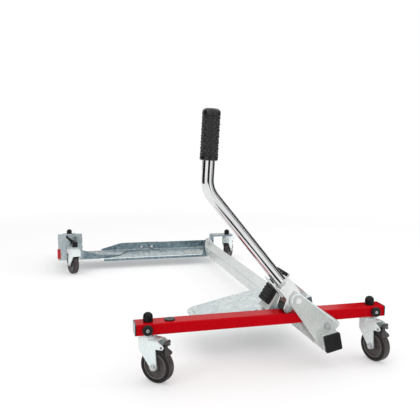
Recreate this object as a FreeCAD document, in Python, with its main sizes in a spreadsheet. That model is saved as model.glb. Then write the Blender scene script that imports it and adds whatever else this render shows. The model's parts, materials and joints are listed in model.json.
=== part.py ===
"""Motorcycle mover dolly: rear axle beam, tilting wheel cradle with hand lever, front stand tray.

Working frame, millimetres: X runs along the rear beam to the right, Y forwards, Z up.
The floor is Z = 0 and the rear beam's middle stands over the working origin.
"""
import FreeCAD, Part
import math
import os
import re
import Sketcher

V = FreeCAD.Vector
X_AXIS, Y_AXIS, Z_AXIS = V(1, 0, 0), V(0, 1, 0), V(0, 0, 1)
TOUCH = 0.01

SIZES = {
    # clearances
    "fit_clear": 0.05,
    "part_gap": 0.3,
    # rear axle beam, rectangular tube
    "beam_length": 584,
    "beam_depth": 40,
    "beam_height": 25,
    "beam_wall": 2.5,
    "beam_round": 3,
    "beam_under": 105,
    "stem_inset": 27,
    "cap_thick": 3,
    "cap_insert": 12,
    "plug_from_stem": 47,
    "plug_dia": 24,
    "plug_shaft": 18,
    "plug_thick": 2.5,
    "plug_under": 3,
    "bumper_inset": 23,
    "bumper_dia": 22.5,
    "bumper_thick": 8,
    "bumper_round": 2.5,
    "bumper_well": 3,
    "bumper_rim": 1,
    "screw_dia": 5,
    "screw_head": 8,
    "screw_length": 16,
    "screw_round": 1.2,
    # castors
    "wheel_dia": 75,
    "wheel_width": 22,
    "wheel_web": 9,
    "wheel_hub": 22,
    "wheel_rim": 52,
    "wheel_round": 5,
    "wheel_dish": 2,
    "castor_trail": 24,
    "fork_gap": 2,
    "fork_plate": 3,
    "king_gap": 1,
    "fork_front": 32,
    "fork_skirt": 22,
    "fork_bend": 3.5,
    "fork_neck": 5,
    "fork_neck_drop": 6,
    "fork_toe": 7.5,
    "fork_nose": 2.2,
    "drum_dia": 38,
    "drum_height": 6.7,
    "flange_dia": 40,
    "flange_thick": 4,
    "stud_dia": 8,
    "stud_extra": 14,
    "king_dia": 12,
    "king_head": 20,
    "king_head_thick": 3,
    "axle_dia": 8,
    "axle_head": 14,
    "axle_head_thick": 4,
    "pedal_rise": 46.5,
    "pedal_gap": 1,
    "pedal_side": 1,
    "pedal_pin": 5,
    "pedal_boss": 2,
    "pedal_turn": 12,
    "heel_out": 9.5,
    "heel_down": 16,
    "heel_round": 4,
    "waist_out": 15,
    "waist_down": 4,
    "waist_round": 7,
    "toe_out": 6,
    "toe_up": 8,
    "toe_round": 5,
    "nut_flats": 13,
    "nut_thick": 6.5,
    "dome_dia": 21.5,
    "dome_height": 20.5,
    "dome_wall": 3,
    "dome_top": 5,
    "dome_flat": 0.5,
    # pivot under the beam
    "pivot_right": 143,
    "pivot_drop": 10,
    "pivot_pin": 10,
    "lug_round": 10,
    "lug_foot": 6,
    "pin_head": 16,
    "pin_head_thick": 4,
    "bolt_end": 1.6,
    # spine tube of the cradle
    "spine_size": 40,
    "spine_wall": 3,
    "spine_round": 3,
    "spine_right": 150,
    "spine_up": 61,
    "spine_tilt": 12,
    "spine_rear": 40,
    "spine_gap": 4,
    "spine_plug": 6,
    "plug_insert": 15,
    "ear_thick": 6,
    "ear_round": 12,
    # fork plates on the spine
    "plate_thick": 4,
    "plate_side": 2,
    "plate_round": 19,
    "plate_peak": 3,
    "peak_left": 6,
    "peak_up": 1.5,
    "shoulder_in": 2,
    "shoulder_rise": 13,
    "shoulder_round": 10,
    # wheel tray and tyre stop
    "tray_thick": 4,
    "tray_rise": 44,
    "tray_left": 270,
    "tray_rear": 85,
    "tray_front": 250,
    "tray_corner": 25,
    "lip_left": 180,
    "tread_rise": 1.5,
    "tread_edge": 14,
    "tread_round": 10,
    "tread_clear": 14,
    "stop_width": 52,
    "stop_length": 104,
    "stop_slope": 45,
    "stop_left": 102,
    "stop_pad": 14,
    "stop_plate": 5,
    "stop_rib": 2,
    "stop_rib_drop": 8,
    "stop_round": 5,
    # lever
    "lever_right": 69,
    "lever_up": 160,
    "lever_lean": 39.5,
    "lever_dia": 27,
    "lever_wall": 2.5,
    "lever_run": 324,
    "lever_top": 164,
    "lever_turn": 42.5,
    "lever_bend": 60,
    "lever_bolt": 10,
    "grip_dia": 39,
    "grip_start": 62,
    "grip_end": 7,
    "grip_round": 9,
    "grip_foot": 3,
    "socket_cheek": 4.5,
    "socket_round": 13,
    "socket_half": 18,
    "socket_seat": 16,
    "socket_top": 48,
    "socket_open": 30,
    "roller_arm": 31,
    "roller_dia": 18,
    "roller_pin": 8,
    "roller_round": 1.5,
    "tab_round": 8,
    "strap_thick": 3,
    "strap_width": 22,
    "strap_low": 20,
    "strap_top": 82,
    "strap_hole": 4.5,
    "strap_pitch": 14,
    "strap_edge": 8,
    "strap_round": 4,
    # front channel and stand tray
    "sheet": 3,
    "sheet_bend": 1.5,
    "stand_rear": 1040,
    "stand_width": 150,
    "stand_floor": 42,
    "stand_left": 457,
    "stand_step": 366,
    "stand_bend": 310,
    "tongue_right": 220,
    "tongue_in": 45,
    "tip_right": 176,
    "tip_in": 124,
    "strip_right": 40,
    "strip_wide": 18,
    "near_top": 145.5,
    "near_wall": 80,
    "near_low": 61,
    "wing_tip": 4,
    "flange_left": 284,
    "flange_rise": 84,
    "flange_nose": 6,
    "flange_top": 74,
    "foot_edge": 12,
    "foot_rise": 1.5,
    "foot_round": 8,
    "channel_left": 283,
    "channel_right": 175,
    "channel_far": 72,
    "channel_lip": 8,
    "channel_slope": 82,
    "channel_nose": 21,
    "channel_ear": 12,
    "slot_first": 115,
    "slot_pitch": 44,
    "slot_up": 55,
    "slot_half": 4,
    "slot_travel": 10.5,
    "slide_head": 14,
    "slide_head_thick": 4,
    "shelf_thick": 4,
    "swing_gap": 3.4,
    "shelf_tail": 21,
    "shelf_width": 56,
    "shelf_round": 12,
    "shelf_flange": 26,
    "near_left": 395,
    "far_left": 412,
    "guard_thick": 3,
    "guard_deep": 9,
    "guard_gap": 1,
    "guard_low": 50,
    "guard_tall": 37,
    "cut_over": 5,
}

doc = FreeCAD.newDocument("MoverDolly")
sheet = doc.addObject("Spreadsheet::Sheet", "sizes")
for row, (alias, size) in enumerate(SIZES.items(), start=1):
    sheet.set("A%d" % row, alias)
    sheet.set("B%d" % row, str(size))
    sheet.setAlias("B%d" % row, alias)
doc.recompute()

nodes = {}


def bind(text):
    """Expression text with every size name pointing at the sheet."""
    def point(word):
        return "sizes." + word.group() if word.group() in SIZES else word.group()

    return re.sub(r"[a-z][a-z0-9_]*", point, str(text))


def num(text):
    """Present value of an expression."""
    return float(sheet.evalExpression(bind(text)))


def spot(x, y, z, axis=None, angle=0.0):
    """Placement from three expressions and a turn."""
    turn = FreeCAD.Rotation(axis, angle) if axis else FreeCAD.Rotation()
    return FreeCAD.Placement(V(num(x), num(y), num(z)), turn)


def keep(label, thing):
    """Names a finished sub-part."""
    thing.Label = label
    nodes[label] = thing
    return thing


def tie(sketch, kind, *where):
    """Adds a dimension whose last entry is an expression."""
    index = sketch.addConstraint(Sketcher.Constraint(kind, *where[:-1], num(where[-1])))
    sketch.setExpression("Constraints[%d]" % index, bind(where[-1]))


def tangent(a, b):
    """Ends of the outer tangent from circle a to circle b, on the right of travel."""
    dx, dy = b[0] - a[0], b[1] - a[1]
    side = math.atan2(dy, dx) - math.acos((a[2] - b[2]) / math.hypot(dx, dy))
    out = V(math.cos(side), math.sin(side), 0)
    return V(a[0], a[1], 0) + out * a[2], V(b[0], b[1], 0) + out * b[2], side


def outline(sketch, corners):
    """Closed counter-clockwise outline: each corner is (x, y) or (x, y, radius) about that centre.

    A radius below zero is an inside bend.
    """
    corners = [tuple(c) if len(c) == 3 else (c[0], c[1], None) for c in corners]
    rings = [(num(x), num(y), num(r) if r else 0.0) for x, y, r in corners]
    count = len(rings)
    runs = [tangent(rings[i], rings[(i + 1) % count]) for i in range(count)]
    lines = [sketch.addGeometry(Part.LineSegment(run[0], run[1]), False) for run in runs]
    for i, (x, y, r) in enumerate(corners):
        before, after = lines[i - 1], lines[i]
        if not r:
            sketch.addConstraint(Sketcher.Constraint("Coincident", before, 2, after, 1))
            tie(sketch, "DistanceX", after, 1, x)
            tie(sketch, "DistanceY", after, 1, y)
            continue
        start, end, first, last = runs[i - 1][2], runs[i][2], 1, 2
        if rings[i][2] < 0:
            start, end, first, last = end + math.pi, start + math.pi, 2, 1
        while end < start:
            end += 2 * math.pi
        round_off = Part.Circle(V(rings[i][0], rings[i][1], 0), Z_AXIS, abs(rings[i][2]))
        arc = sketch.addGeometry(Part.ArcOfCircle(round_off, start, end), False)
        sketch.addConstraint(Sketcher.Constraint("Tangent", before, 2, arc, first))
        sketch.addConstraint(Sketcher.Constraint("Tangent", arc, last, after, 1))
        tie(sketch, "Radius", arc, "abs(%s)" % r)
        tie(sketch, "DistanceX", arc, 3, x)
        tie(sketch, "DistanceY", arc, 3, y)


def ring(sketch, x, y, r):
    """Full circle."""
    circle = sketch.addGeometry(Part.Circle(V(num(x), num(y), 0), Z_AXIS, num(r)), False)
    tie(sketch, "Radius", circle, r)
    tie(sketch, "DistanceX", circle, 3, x)
    tie(sketch, "DistanceY", circle, 3, y)


def draw(body, plane, wires, offset="0"):
    """Sketch on one of the body's own planes; a wire is a list of corners or one (x, y, r) circle."""
    sketch = body.newObject("Sketcher::SketchObject", "outline")
    support = next(f for f in body.Origin.OriginFeatures if f.Role == plane + "_Plane")
    sketch.AttachmentSupport = (support, [""])
    sketch.MapMode = "FlatFace"
    sketch.setExpression("AttachmentOffset.Base.z", bind(offset))
    for wire in wires:
        if isinstance(wire, tuple):
            ring(sketch, *wire)
        else:
            outline(sketch, wire)
    return sketch


def new_body(name):
    return doc.addObject("PartDesign::Body", name)


def pad(body, plane, wires, length, offset="0", middle=True):
    """Extrusion, evenly to both sides of the sketch or along its normal."""
    feature = body.newObject("PartDesign::Pad", "pad")
    feature.Profile = draw(body, plane, wires, offset)
    feature.SideType = "Symmetric" if middle else "One side"
    feature.setExpression("Length", bind(length))
    doc.recompute()
    return body


def pocket(body, plane, wires, length=None, offset="0", forward=False):
    """Cut through everything, or by a length from the sketch; checked to take something away."""
    before = body.Shape.Volume
    feature = body.newObject("PartDesign::Pocket", "pocket")
    feature.Profile = draw(body, plane, wires, offset)
    if length is None:
        feature.SideType = "Symmetric"
        feature.Type = "ThroughAll"
    else:
        feature.setExpression("Length", bind(length))
        feature.Reversed = forward
    doc.recompute()
    if body.Shape.Volume > before - 0.01:
        raise RuntimeError("pocket took nothing away in " + body.Name)
    return body


def turned(name, corners):
    """Revolved piece: corners are (radius, height) round the upright axis."""
    body = new_body(name)
    feature = body.newObject("PartDesign::Revolution", "revolution")
    sketch = draw(body, "XZ", [corners])
    feature.Profile = sketch
    feature.ReferenceAxis = (sketch, ["V_Axis"])
    feature.Angle = 360
    doc.recompute()
    return body


def plain(name, plane, wires, length, offset="0", middle=True):
    return pad(new_body(name), plane, wires, length, offset, middle)


def together(name, pieces):
    """Several like pieces kept as one group of separate solids."""
    group = doc.addObject("Part::Compound", name)
    group.Links = pieces
    return group


def cut_from(name, base, tools):
    """Base less every tool."""
    for index, tool in enumerate(tools):
        cut = doc.addObject("Part::Cut", "%s_cut%d" % (name, index))
        cut.Base = base
        cut.Tool = tool
        base = cut
    doc.recompute()
    return base


def joined(name, pieces):
    fuse = doc.addObject("Part::MultiFuse", name)
    fuse.Shapes = pieces
    fuse.Refine = True
    doc.recompute()
    return fuse


def soften(body, radius, pick):
    """Fillet on the edges of the latest feature that pick accepts."""
    base = body.Tip
    names = ["Edge%d" % (i + 1) for i, edge in enumerate(base.Shape.Edges) if pick(edge)]
    fillet = body.newObject("PartDesign::Fillet", "fillet")
    fillet.Base = (base, names)
    fillet.setExpression("Radius", bind(radius))
    doc.recompute()
    return body


def upright_at(axis, place):
    """Accepts the upright edges that stand at one place along X or Y."""
    goal = num(place)

    def pick(edge):
        reach = edge.BoundBox
        upright = reach.XLength + reach.YLength < TOUCH
        return upright and abs(getattr(reach, axis + "Min") - goal) < TOUCH

    return pick


def box_wire(x0, y0, x1, y1, r=None):
    """Rectangle from two corners, with rounded corners where r is given."""
    if not r:
        return [(x0, y0), (x1, y0), (x1, y1), (x0, y1)]
    a, b = "(%s) + %s" % (x0, r), "(%s) - %s" % (x1, r)
    c, d = "(%s) + %s" % (y0, r), "(%s) - %s" % (y1, r)
    return [(a, c, r), (b, c, r), (b, d, r), (a, d, r)]


def hexagon(corner):
    """Six corners of a nut or a bolt head."""
    half, high = "(%s) / 2" % corner, "(%s) * sqrt(3) / 2" % corner
    right = [("-" + half, "-" + high), (half, "-" + high), ("(%s)" % corner, "0")]
    left = [(half, high), ("-" + half, high), ("-(%s)" % corner, "0")]
    return right + left


def bolt(name, shank, head, head_thick, grip_length):
    """Hexagon bolt along its own Z: head below zero, then shank, nut and thread end."""
    tip = "(%s) + %s + bolt_end" % (grip_length, head_thick)
    body = turned(name, [
        ("0", "-" + head_thick),
        (shank, "-" + head_thick),
        (shank, "%s - bolt_end / 2" % tip),
        ("%s - bolt_end / 2" % shank, tip),
        ("0", tip),
    ])
    pad(body, "XY", [hexagon(head)], head_thick, "-" + head_thick, middle=False)
    return pad(body, "XY", [hexagon(head)], head_thick, grip_length, middle=False)


# Rear axle beam with its caps, plug and bumpers.
STEM_X = "beam_length / 2 - stem_inset"
BEAM_TOP = "beam_under + beam_height"
BEAM_MID = "beam_under + beam_height / 2"
STUD_HOLE = "stud_dia / 2 + fit_clear"

beam = plain("rear_beam", "YZ", [
    box_wire("-beam_depth / 2", "-beam_height / 2", "beam_depth / 2", "beam_height / 2", "beam_round"),
    box_wire("-beam_depth / 2 + beam_wall", "-beam_height / 2 + beam_wall",
             "beam_depth / 2 - beam_wall", "beam_height / 2 - beam_wall"),
], "beam_length")
pocket(beam, "XY", [(STEM_X, "0", STUD_HOLE), ("-(%s)" % STEM_X, "0", STUD_HOLE)])
PLUG_X = "-(%s) + plug_from_stem" % STEM_X
pocket(beam, "XY", [(PLUG_X, "0", "plug_shaft / 2 + fit_clear")], "beam_height", forward=True)
BUMPER_X = "beam_length / 2 - bumper_inset"
SCREW_HOLE = "screw_dia / 2 + fit_clear"
pocket(beam, "XZ", [(BUMPER_X, "0", SCREW_HOLE), ("-(%s)" % BUMPER_X, "0", SCREW_HOLE)],
       "beam_depth", forward=True)
beam.Placement = spot("0", "0", BEAM_MID)
keep("rear_beam", beam)

caps = []
for side in (1, -1):
    cap = plain("beam_cap", "YZ", [
        box_wire("-beam_depth / 2", "-beam_height / 2", "beam_depth / 2", "beam_height / 2", "beam_round")],
        "cap_thick", middle=False)
    inner_y = "beam_depth / 2 - beam_wall - fit_clear"
    inner_z = "beam_height / 2 - beam_wall - fit_clear"
    pad(cap, "YZ", [box_wire("-(%s)" % inner_y, "-(%s)" % inner_z, inner_y, inner_z)],
        "cap_insert + cap_thick", "-cap_insert", middle=False)
    cap.Placement = spot("%d * beam_length / 2" % side, "0", BEAM_MID, Z_AXIS, 0 if side > 0 else 180)
    caps.append(cap)
keep("beam_end_caps", together("beam_end_caps", caps))

round_plug = turned("beam_round_plug", [
    ("0", "-beam_wall - plug_under"),
    ("plug_shaft / 2", "-beam_wall - plug_under"),
    ("plug_shaft / 2", "0"),
    ("plug_dia / 2", "0"),
    ("plug_dia / 2 - plug_thick / 2", "plug_thick / 2", "plug_thick / 2"),
    ("0", "plug_thick"),
])
round_plug.Placement = spot(PLUG_X, "0", BEAM_TOP)
keep("beam_round_plug", round_plug)

WELL = "bumper_thick - bumper_well"
bumpers, screws = [], []
for side in (1, -1):
    bumper = turned("beam_bumper", [
        (SCREW_HOLE, "0"),
        ("bumper_dia / 2", "0"),
        ("bumper_dia / 2 - bumper_round", "bumper_thick - bumper_round", "bumper_round"),
        ("screw_head / 2 + bumper_rim", "bumper_thick"),
        ("screw_head / 2 + bumper_rim", WELL),
        (SCREW_HOLE, WELL),
    ])
    screw = turned("bumper_screw", [
        ("0", "%s - screw_length" % WELL),
        ("screw_dia / 2", "%s - screw_length" % WELL),
        ("screw_dia / 2", WELL),
        ("screw_head / 2", WELL),
        ("screw_head / 2 - screw_round", "bumper_thick - screw_round", "screw_round"),
        ("0", "bumper_thick"),
    ])
    for piece in (bumper, screw):
        piece.Placement = spot("%d * (%s)" % (side, BUMPER_X), "-beam_depth / 2", BEAM_MID, X_AXIS, 90)
    bumpers.append(bumper)
    screws.append(screw)
keep("beam_bumpers", together("beam_bumpers", bumpers))
keep("bumper_screws", together("bumper_screws", screws))

# Castors: stud and flange stay with the mount, the fork swivels, the wheel and the brake rocker turn in it.
CROWN_TOP = "(beam_under - flange_thick - part_gap)"
CROWN_LOW = "(%s - drum_height)" % CROWN_TOP
HEAD_TOP = "(%s - part_gap)" % CROWN_LOW
FORK_BACK = "(king_head / 2 + king_gap + fork_plate)"
SKIRT_LOW = "(%s - fork_skirt)" % CROWN_LOW
LEG_IN = "(wheel_width / 2 + fork_gap)"
LEG_OUT = "(%s + fork_plate)" % LEG_IN
HUB_UP = "wheel_dia / 2"
PEDAL_UP = "(wheel_dia / 2 + pedal_rise)"
HEEL_FREE = "(wheel_dia / 2 + heel_round + pedal_gap)"
PEDAL_X = "(castor_trail + sqrt(%s ^ 2 - (pedal_rise - heel_down) ^ 2) - heel_out)" % HEEL_FREE


def castor_stem(name, mount):
    return turned(name, [
        ("0", "%s - king_head_thick" % HEAD_TOP),
        ("king_head / 2", "%s - king_head_thick" % HEAD_TOP),
        ("king_head / 2", HEAD_TOP),
        ("king_dia / 2", HEAD_TOP),
        ("king_dia / 2", "beam_under - flange_thick"),
        ("flange_dia / 2", "beam_under - flange_thick"),
        ("flange_dia / 2", "beam_under"),
        ("stud_dia / 2", "beam_under"),
        ("stud_dia / 2", "beam_under + %s + stud_extra" % mount),
        ("0", "beam_under + %s + stud_extra" % mount),
    ])


def castor_fork(name):
    body = plain(name, "XZ", [[
        ("castor_trail", HUB_UP, "fork_toe"),
        ("castor_trail + fork_neck", "%s - fork_neck_drop" % PEDAL_UP),
        (PEDAL_X, PEDAL_UP, "pedal_pin / 2 + fork_nose"),
        ("fork_front", "%s + fork_plate" % CROWN_LOW),
        ("-" + FORK_BACK, "%s + fork_plate" % CROWN_LOW),
        ("-" + FORK_BACK, SKIRT_LOW),
    ]], "2 * %s" % LEG_OUT)
    crown = num("%s + fork_plate" % CROWN_LOW)

    def along_crown(edge):
        return edge.BoundBox.ZMin > crown - TOUCH and edge.BoundBox.YLength < TOUCH

    soften(body, "fork_bend", along_crown)
    pocket(body, "YZ", [box_wire("-" + LEG_IN, "0", LEG_IN, "beam_under")],
           "2 * %s" % PEDAL_X, "fork_front", forward=True)
    pocket(body, "YZ", [box_wire("-" + LEG_IN, "0", LEG_IN, SKIRT_LOW)])
    pocket(body, "YZ", [box_wire("-" + LEG_IN, SKIRT_LOW, LEG_IN, CROWN_LOW)],
           "2 * %s" % PEDAL_X, "fork_plate - %s" % FORK_BACK, forward=True)
    pad(body, "XY", [("0", "0", "drum_dia / 2")], "drum_height", CROWN_LOW, middle=False)
    pocket(body, "XY", [("0", "0", "king_dia / 2 + fit_clear")])
    pocket(body, "XZ", [("castor_trail", HUB_UP, "axle_dia / 2 + fit_clear"),
                        (PEDAL_X, PEDAL_UP, "pedal_pin / 2 + fit_clear")])
    return body


def castor_wheel(name):
    side = "(%s - fork_gap / 4)" % LEG_IN
    rim = "wheel_width / 2"
    return turned(name, [
        ("axle_dia / 2 + fit_clear", "-%s" % side),
        ("wheel_hub / 2", "-%s" % side),
        ("wheel_hub / 2", "-wheel_web / 2"),
        ("wheel_rim / 2", "-wheel_web / 2"),
        ("wheel_rim / 2 + wheel_dish", "-%s" % rim),
        ("wheel_dia / 2 - wheel_round", "-%s + wheel_round" % rim, "wheel_round"),
        ("wheel_dia / 2 - wheel_round", "%s - wheel_round" % rim, "wheel_round"),
        ("wheel_rim / 2 + wheel_dish", rim),
        ("wheel_rim / 2", "wheel_web / 2"),
        ("wheel_hub / 2", "wheel_web / 2"),
        ("wheel_hub / 2", side),
        ("axle_dia / 2 + fit_clear", side),
    ])


def castor_pedal(name):
    body = plain(name, "XZ", [[
        ("%s + heel_out" % PEDAL_X, "%s - heel_down" % PEDAL_UP, "heel_round"),
        ("%s + waist_out" % PEDAL_X, "%s - waist_down" % PEDAL_UP, "-waist_round"),
        ("%s + toe_out" % PEDAL_X, "%s + toe_up" % PEDAL_UP, "toe_round"),
        (PEDAL_X, PEDAL_UP, "pedal_pin / 2 + pedal_boss"),
    ]], "2 * (%s - pedal_side)" % LEG_IN)
    return pad(body, "XZ", [(PEDAL_X, PEDAL_UP, "pedal_pin / 2")], "2 * %s" % LEG_OUT)


def nut(x, y, z):
    body = plain("nut", "XY", [hexagon("nut_flats / sqrt(3)"), ("0", "0", STUD_HOLE)],
                 "nut_thick", middle=False)
    body.Placement = spot(x, y, z)
    return body


def dome(x, y, z):
    inside = "dome_dia / 2 - dome_wall"
    body = turned("dome", [
        (inside, "0"),
        ("dome_dia / 2", "0"),
        ("dome_flat", "dome_height - dome_dia / 2 + dome_flat", "dome_dia / 2 - dome_flat"),
        ("0", "dome_height"),
        ("0", "dome_height - dome_top"),
        (inside, "dome_height - dome_top"),
    ])
    body.Placement = spot(x, y, z)
    return body


STAND_FAR = "(stand_rear + stand_width)"
CHANNEL_MID = "(stand_rear + stand_width / 2)"
WHEEL_SWEEP = "sqrt((castor_trail + wheel_dia / 2) ^ 2 + (wheel_width / 2) ^ 2)"
HEEL_OUT = "heel_out * cos(pedal_turn) + heel_down * sin(pedal_turn) + heel_round"
PEDAL_SWEEP = "sqrt((%s + %s) ^ 2 + %s ^ 2)" % (PEDAL_X, HEEL_OUT, LEG_IN)
SHELF_REACH = "(max(%s; %s) + swing_gap)" % (WHEEL_SWEEP, PEDAL_SWEEP)
NEAR_STEM = "stand_rear - %s" % SHELF_REACH
FAR_STEM = "%s + %s" % (STAND_FAR, SHELF_REACH)
RIGHT_STEM = "channel_right + shelf_thick + %s" % SHELF_REACH
CASTORS = {
    "left": (("-(%s)" % STEM_X), "0", "beam_height", -44),
    "right": (STEM_X, "0", "beam_height", -74),
    "stand_near": ("-near_left", NEAR_STEM, "shelf_thick", 110),
    "stand_far": ("-far_left", FAR_STEM, "shelf_thick", 75),
    "front": (RIGHT_STEM, CHANNEL_MID, "shelf_thick", 55),
}
domes, nuts = {}, {}
for label, (stem_x, stem_y, mount, heading) in CASTORS.items():
    at = spot(stem_x, stem_y, "0", Z_AXIS, heading)
    across = at.multiply(spot("castor_trail", "0", HUB_UP, X_AXIS, 90))
    stem = keep("castor_%s_stem" % label, castor_stem("castor_stem", mount))
    fork = keep("castor_%s_fork" % label, castor_fork("castor_fork"))
    wheel = keep("castor_%s_wheel" % label, castor_wheel("castor_wheel"))
    pedal = keep("castor_%s_pedal" % label, castor_pedal("castor_pedal"))
    axle = keep("castor_%s_axle" % label, bolt(
        "castor_axle", "axle_dia / 2", "axle_head / 2", "axle_head_thick", "2 * %s" % LEG_OUT))
    for piece in (stem, fork, pedal):
        piece.Placement = at
    wheel.Placement = across
    axle.Placement = across.multiply(spot("0", "0", "-%s" % LEG_OUT))
    domes[label] = dome(stem_x, stem_y, "beam_under + %s" % mount)
    nuts[label] = nut(stem_x, stem_y, "beam_under + %s" % mount)
keep("dome_caps", together("dome_caps", [domes[k] for k in ("left", "right", "front")]))
keep("castor_nuts", together("castor_nuts", [nuts[k] for k in ("left", "right", "front")]))
keep("stand_dome_caps", together("stand_dome_caps", [domes[k] for k in ("stand_near", "stand_far")]))
keep("stand_castor_nuts", together("stand_castor_nuts", [nuts[k] for k in ("stand_near", "stand_far")]))

# Pivot lug and pin under the beam.
PIVOT_UP = "(beam_under - pivot_drop)"
PIN_HOLE = "pivot_pin / 2 + fit_clear"
PLATE_IN = "(beam_depth / 2 + plate_side)"
PLATE_OUT = "(%s + plate_thick)" % PLATE_IN

lug = plain("pivot_lug", "XZ", [[
    ("pivot_right", PIVOT_UP, "lug_round"),
    ("pivot_right + lug_round + lug_foot", "beam_under"),
    ("pivot_right - lug_round - lug_foot", "beam_under"),
], ("pivot_right", PIVOT_UP, PIN_HOLE)], "beam_depth")
keep("pivot_lug", lug)

rear_pin = bolt("rear_pivot_pin", "pivot_pin / 2", "pin_head / 2", "pin_head_thick",
                "2 * (%s + part_gap)" % PLATE_OUT)
rear_pin.Placement = spot("pivot_right", "%s + part_gap" % PLATE_OUT, PIVOT_UP, X_AXIS, 90)
keep("rear_pivot_pin", rear_pin)

# Cradle: tilted spine tube, its plugs, the fork plates and the front ear.
SPINE_FRONT = "(stand_rear - spine_gap)"
SPINE_MID = "(%s - spine_rear) / 2" % SPINE_FRONT
SPINE_LONG = "%s + spine_rear" % SPINE_FRONT
HALF = "spine_size / 2"
SPINE_IN = "(%s - spine_wall)" % HALF


def on_spine(x, z):
    """Working coordinates of a point given across the tilted tube."""
    return ("spine_right + (%s) * cos(spine_tilt) - (%s) * sin(spine_tilt)" % (x, z),
            "spine_up + (%s) * sin(spine_tilt) + (%s) * cos(spine_tilt)" % (x, z))


def spine_spot(y):
    return spot("spine_right", y, "spine_up", Y_AXIS, -num("spine_tilt"))


spine = plain("spine_tube", "XZ", [
    box_wire("-" + HALF, "-" + HALF, HALF, HALF, "spine_round"),
    box_wire("-" + SPINE_IN, "-" + SPINE_IN, SPINE_IN, SPINE_IN),
], SPINE_LONG)
spine.Placement = spine_spot(SPINE_MID)
keep("spine_tube", spine)

plugs = []
for side, end in ((1, "-spine_rear"), (-1, SPINE_FRONT)):
    plug = plain("spine_plug", "XZ", [box_wire("-" + HALF, "-" + HALF, HALF, HALF, "spine_round")],
                 "spine_plug", middle=False)
    inner = "(%s - fit_clear)" % SPINE_IN
    pad(plug, "XZ", [box_wire("-" + inner, "-" + inner, inner, inner)],
        "plug_insert", "-plug_insert", middle=False)
    plug.Placement = spine_spot(end)
    if side < 0:
        plug.Placement = plug.Placement.multiply(FreeCAD.Placement(V(), FreeCAD.Rotation(Z_AXIS, 180)))
    plugs.append(plug)
keep("spine_plugs", together("spine_plugs", plugs))

BOLT_HOLE = "lever_bolt / 2 + fit_clear"
SPINE_EDGE = on_spine(HALF, HALF)
for label, side in (("rear", -1), ("front", 1)):
    plate = plain("fork_plate", "XZ", [[
        on_spine("-" + HALF, "-" + HALF),
        on_spine("-" + HALF, HALF),
        SPINE_EDGE,
        ("%s - shoulder_in" % SPINE_EDGE[0], "%s + shoulder_rise" % SPINE_EDGE[1], "shoulder_round"),
        ("lever_right - peak_left", "lever_up + plate_round - plate_peak + peak_up", "plate_peak"),
        ("lever_right", "lever_up", "plate_round"),
    ], ("pivot_right", PIVOT_UP, PIN_HOLE), ("lever_right", "lever_up", BOLT_HOLE)], "plate_thick")
    plate.Placement = spot("0", "%d * (%s + plate_thick / 2)" % (side, PLATE_IN), "0")
    keep("fork_plate_" + label, plate)

ear = plain("front_ear", "XZ", [[
    on_spine("-" + HALF, HALF),
    on_spine(HALF, HALF),
    ("pivot_right", PIVOT_UP, "ear_round"),
], ("pivot_right", PIVOT_UP, PIN_HOLE)], "ear_thick")
ear.Placement = spot("0", "%s - ear_thick / 2" % SPINE_FRONT, "0")
keep("front_ear", ear)

# Wheel tray on two gussets over the spine, with a raised tread panel, and the sloped tyre stop.
TRAY_LOW = "(%s + tray_rise)" % HALF
TRAY_TOP = "(%s + tray_thick)" % TRAY_LOW
tray = plain("wheel_tray", "XY", [[
    ("-tray_left + tray_corner", "tray_rear + tray_corner", "tray_corner"),
    (HALF, "tray_rear"),
    (HALF, "tray_front"),
    ("-tray_left + tray_corner", "tray_front - tray_corner", "tray_corner"),
]], "tray_thick", TRAY_LOW, middle=False)
gusset = [
    ("-lip_left", TRAY_LOW),
    ("-" + HALF, HALF),
    (HALF, HALF),
    (HALF, "%s + tray_thick / 2" % TRAY_LOW),
    ("-lip_left", "%s + tray_thick / 2" % TRAY_LOW),
]
pad(tray, "XZ", [gusset], "tray_thick", "-tray_rear - tray_thick / 2")
pad(tray, "XZ", [gusset], "tray_thick", "-tray_front + tray_thick / 2")
pad(tray, "XY", [box_wire("-tray_left + tread_edge", "tray_rear + tread_edge", "-stop_left - tread_clear",
                          "tray_front - tread_edge", "tread_round")], "tread_rise", TRAY_TOP, middle=False)
tray.Placement = spine_spot("0")
keep("wheel_tray", tray)

STOP_MID = "(tray_rear + stop_width / 2)"


def on_stop(along, out):
    """Tray coordinates of a point along the slope and out to its upper left."""
    return ("-stop_left + (%s) * cos(stop_slope) - (%s) * sin(stop_slope)" % (along, out),
            "%s + (%s) * sin(stop_slope) + (%s) * cos(stop_slope)" % (TRAY_TOP, along, out))


stop = plain("stop_bracket", "XZ", [[
    ("-stop_left", TRAY_TOP),
    ("-stop_left + stop_plate / sin(stop_slope)", TRAY_TOP),
    on_stop("stop_length", "-stop_plate"),
    on_stop("stop_length", "0"),
]], "stop_width", "-" + STOP_MID)
pad(stop, "XZ", [[
    ("-stop_left + stop_rib", TRAY_TOP),
    (HALF, TRAY_TOP),
    on_stop("stop_length - stop_rib_drop", "-stop_plate / 2"),
]], "stop_plate", "-" + STOP_MID)
stop.Placement = spine_spot("0")
keep("stop_bracket", stop)

rubber = plain("stop_pad", "XZ", [[
    on_stop("stop_pad", "0"),
    on_stop("stop_length", "0"),
    on_stop("stop_length - stop_round", "stop_pad - stop_round") + ("stop_round",),
    on_stop("stop_pad + stop_round", "stop_pad - stop_round") + ("stop_round",),
]], "stop_width", "-" + STOP_MID)
rubber.Placement = spine_spot("0")
keep("stop_pad", rubber)

# Lever: socket with roller tab, bent tube, grip, punched strap and roller.
LEAN = -num("lever_lean")


def lever_spot(x="0", z="0"):
    base = spot("lever_right", "0", "lever_up", Y_AXIS, LEAN)
    return base.multiply(spot(x, "0", z))


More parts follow.
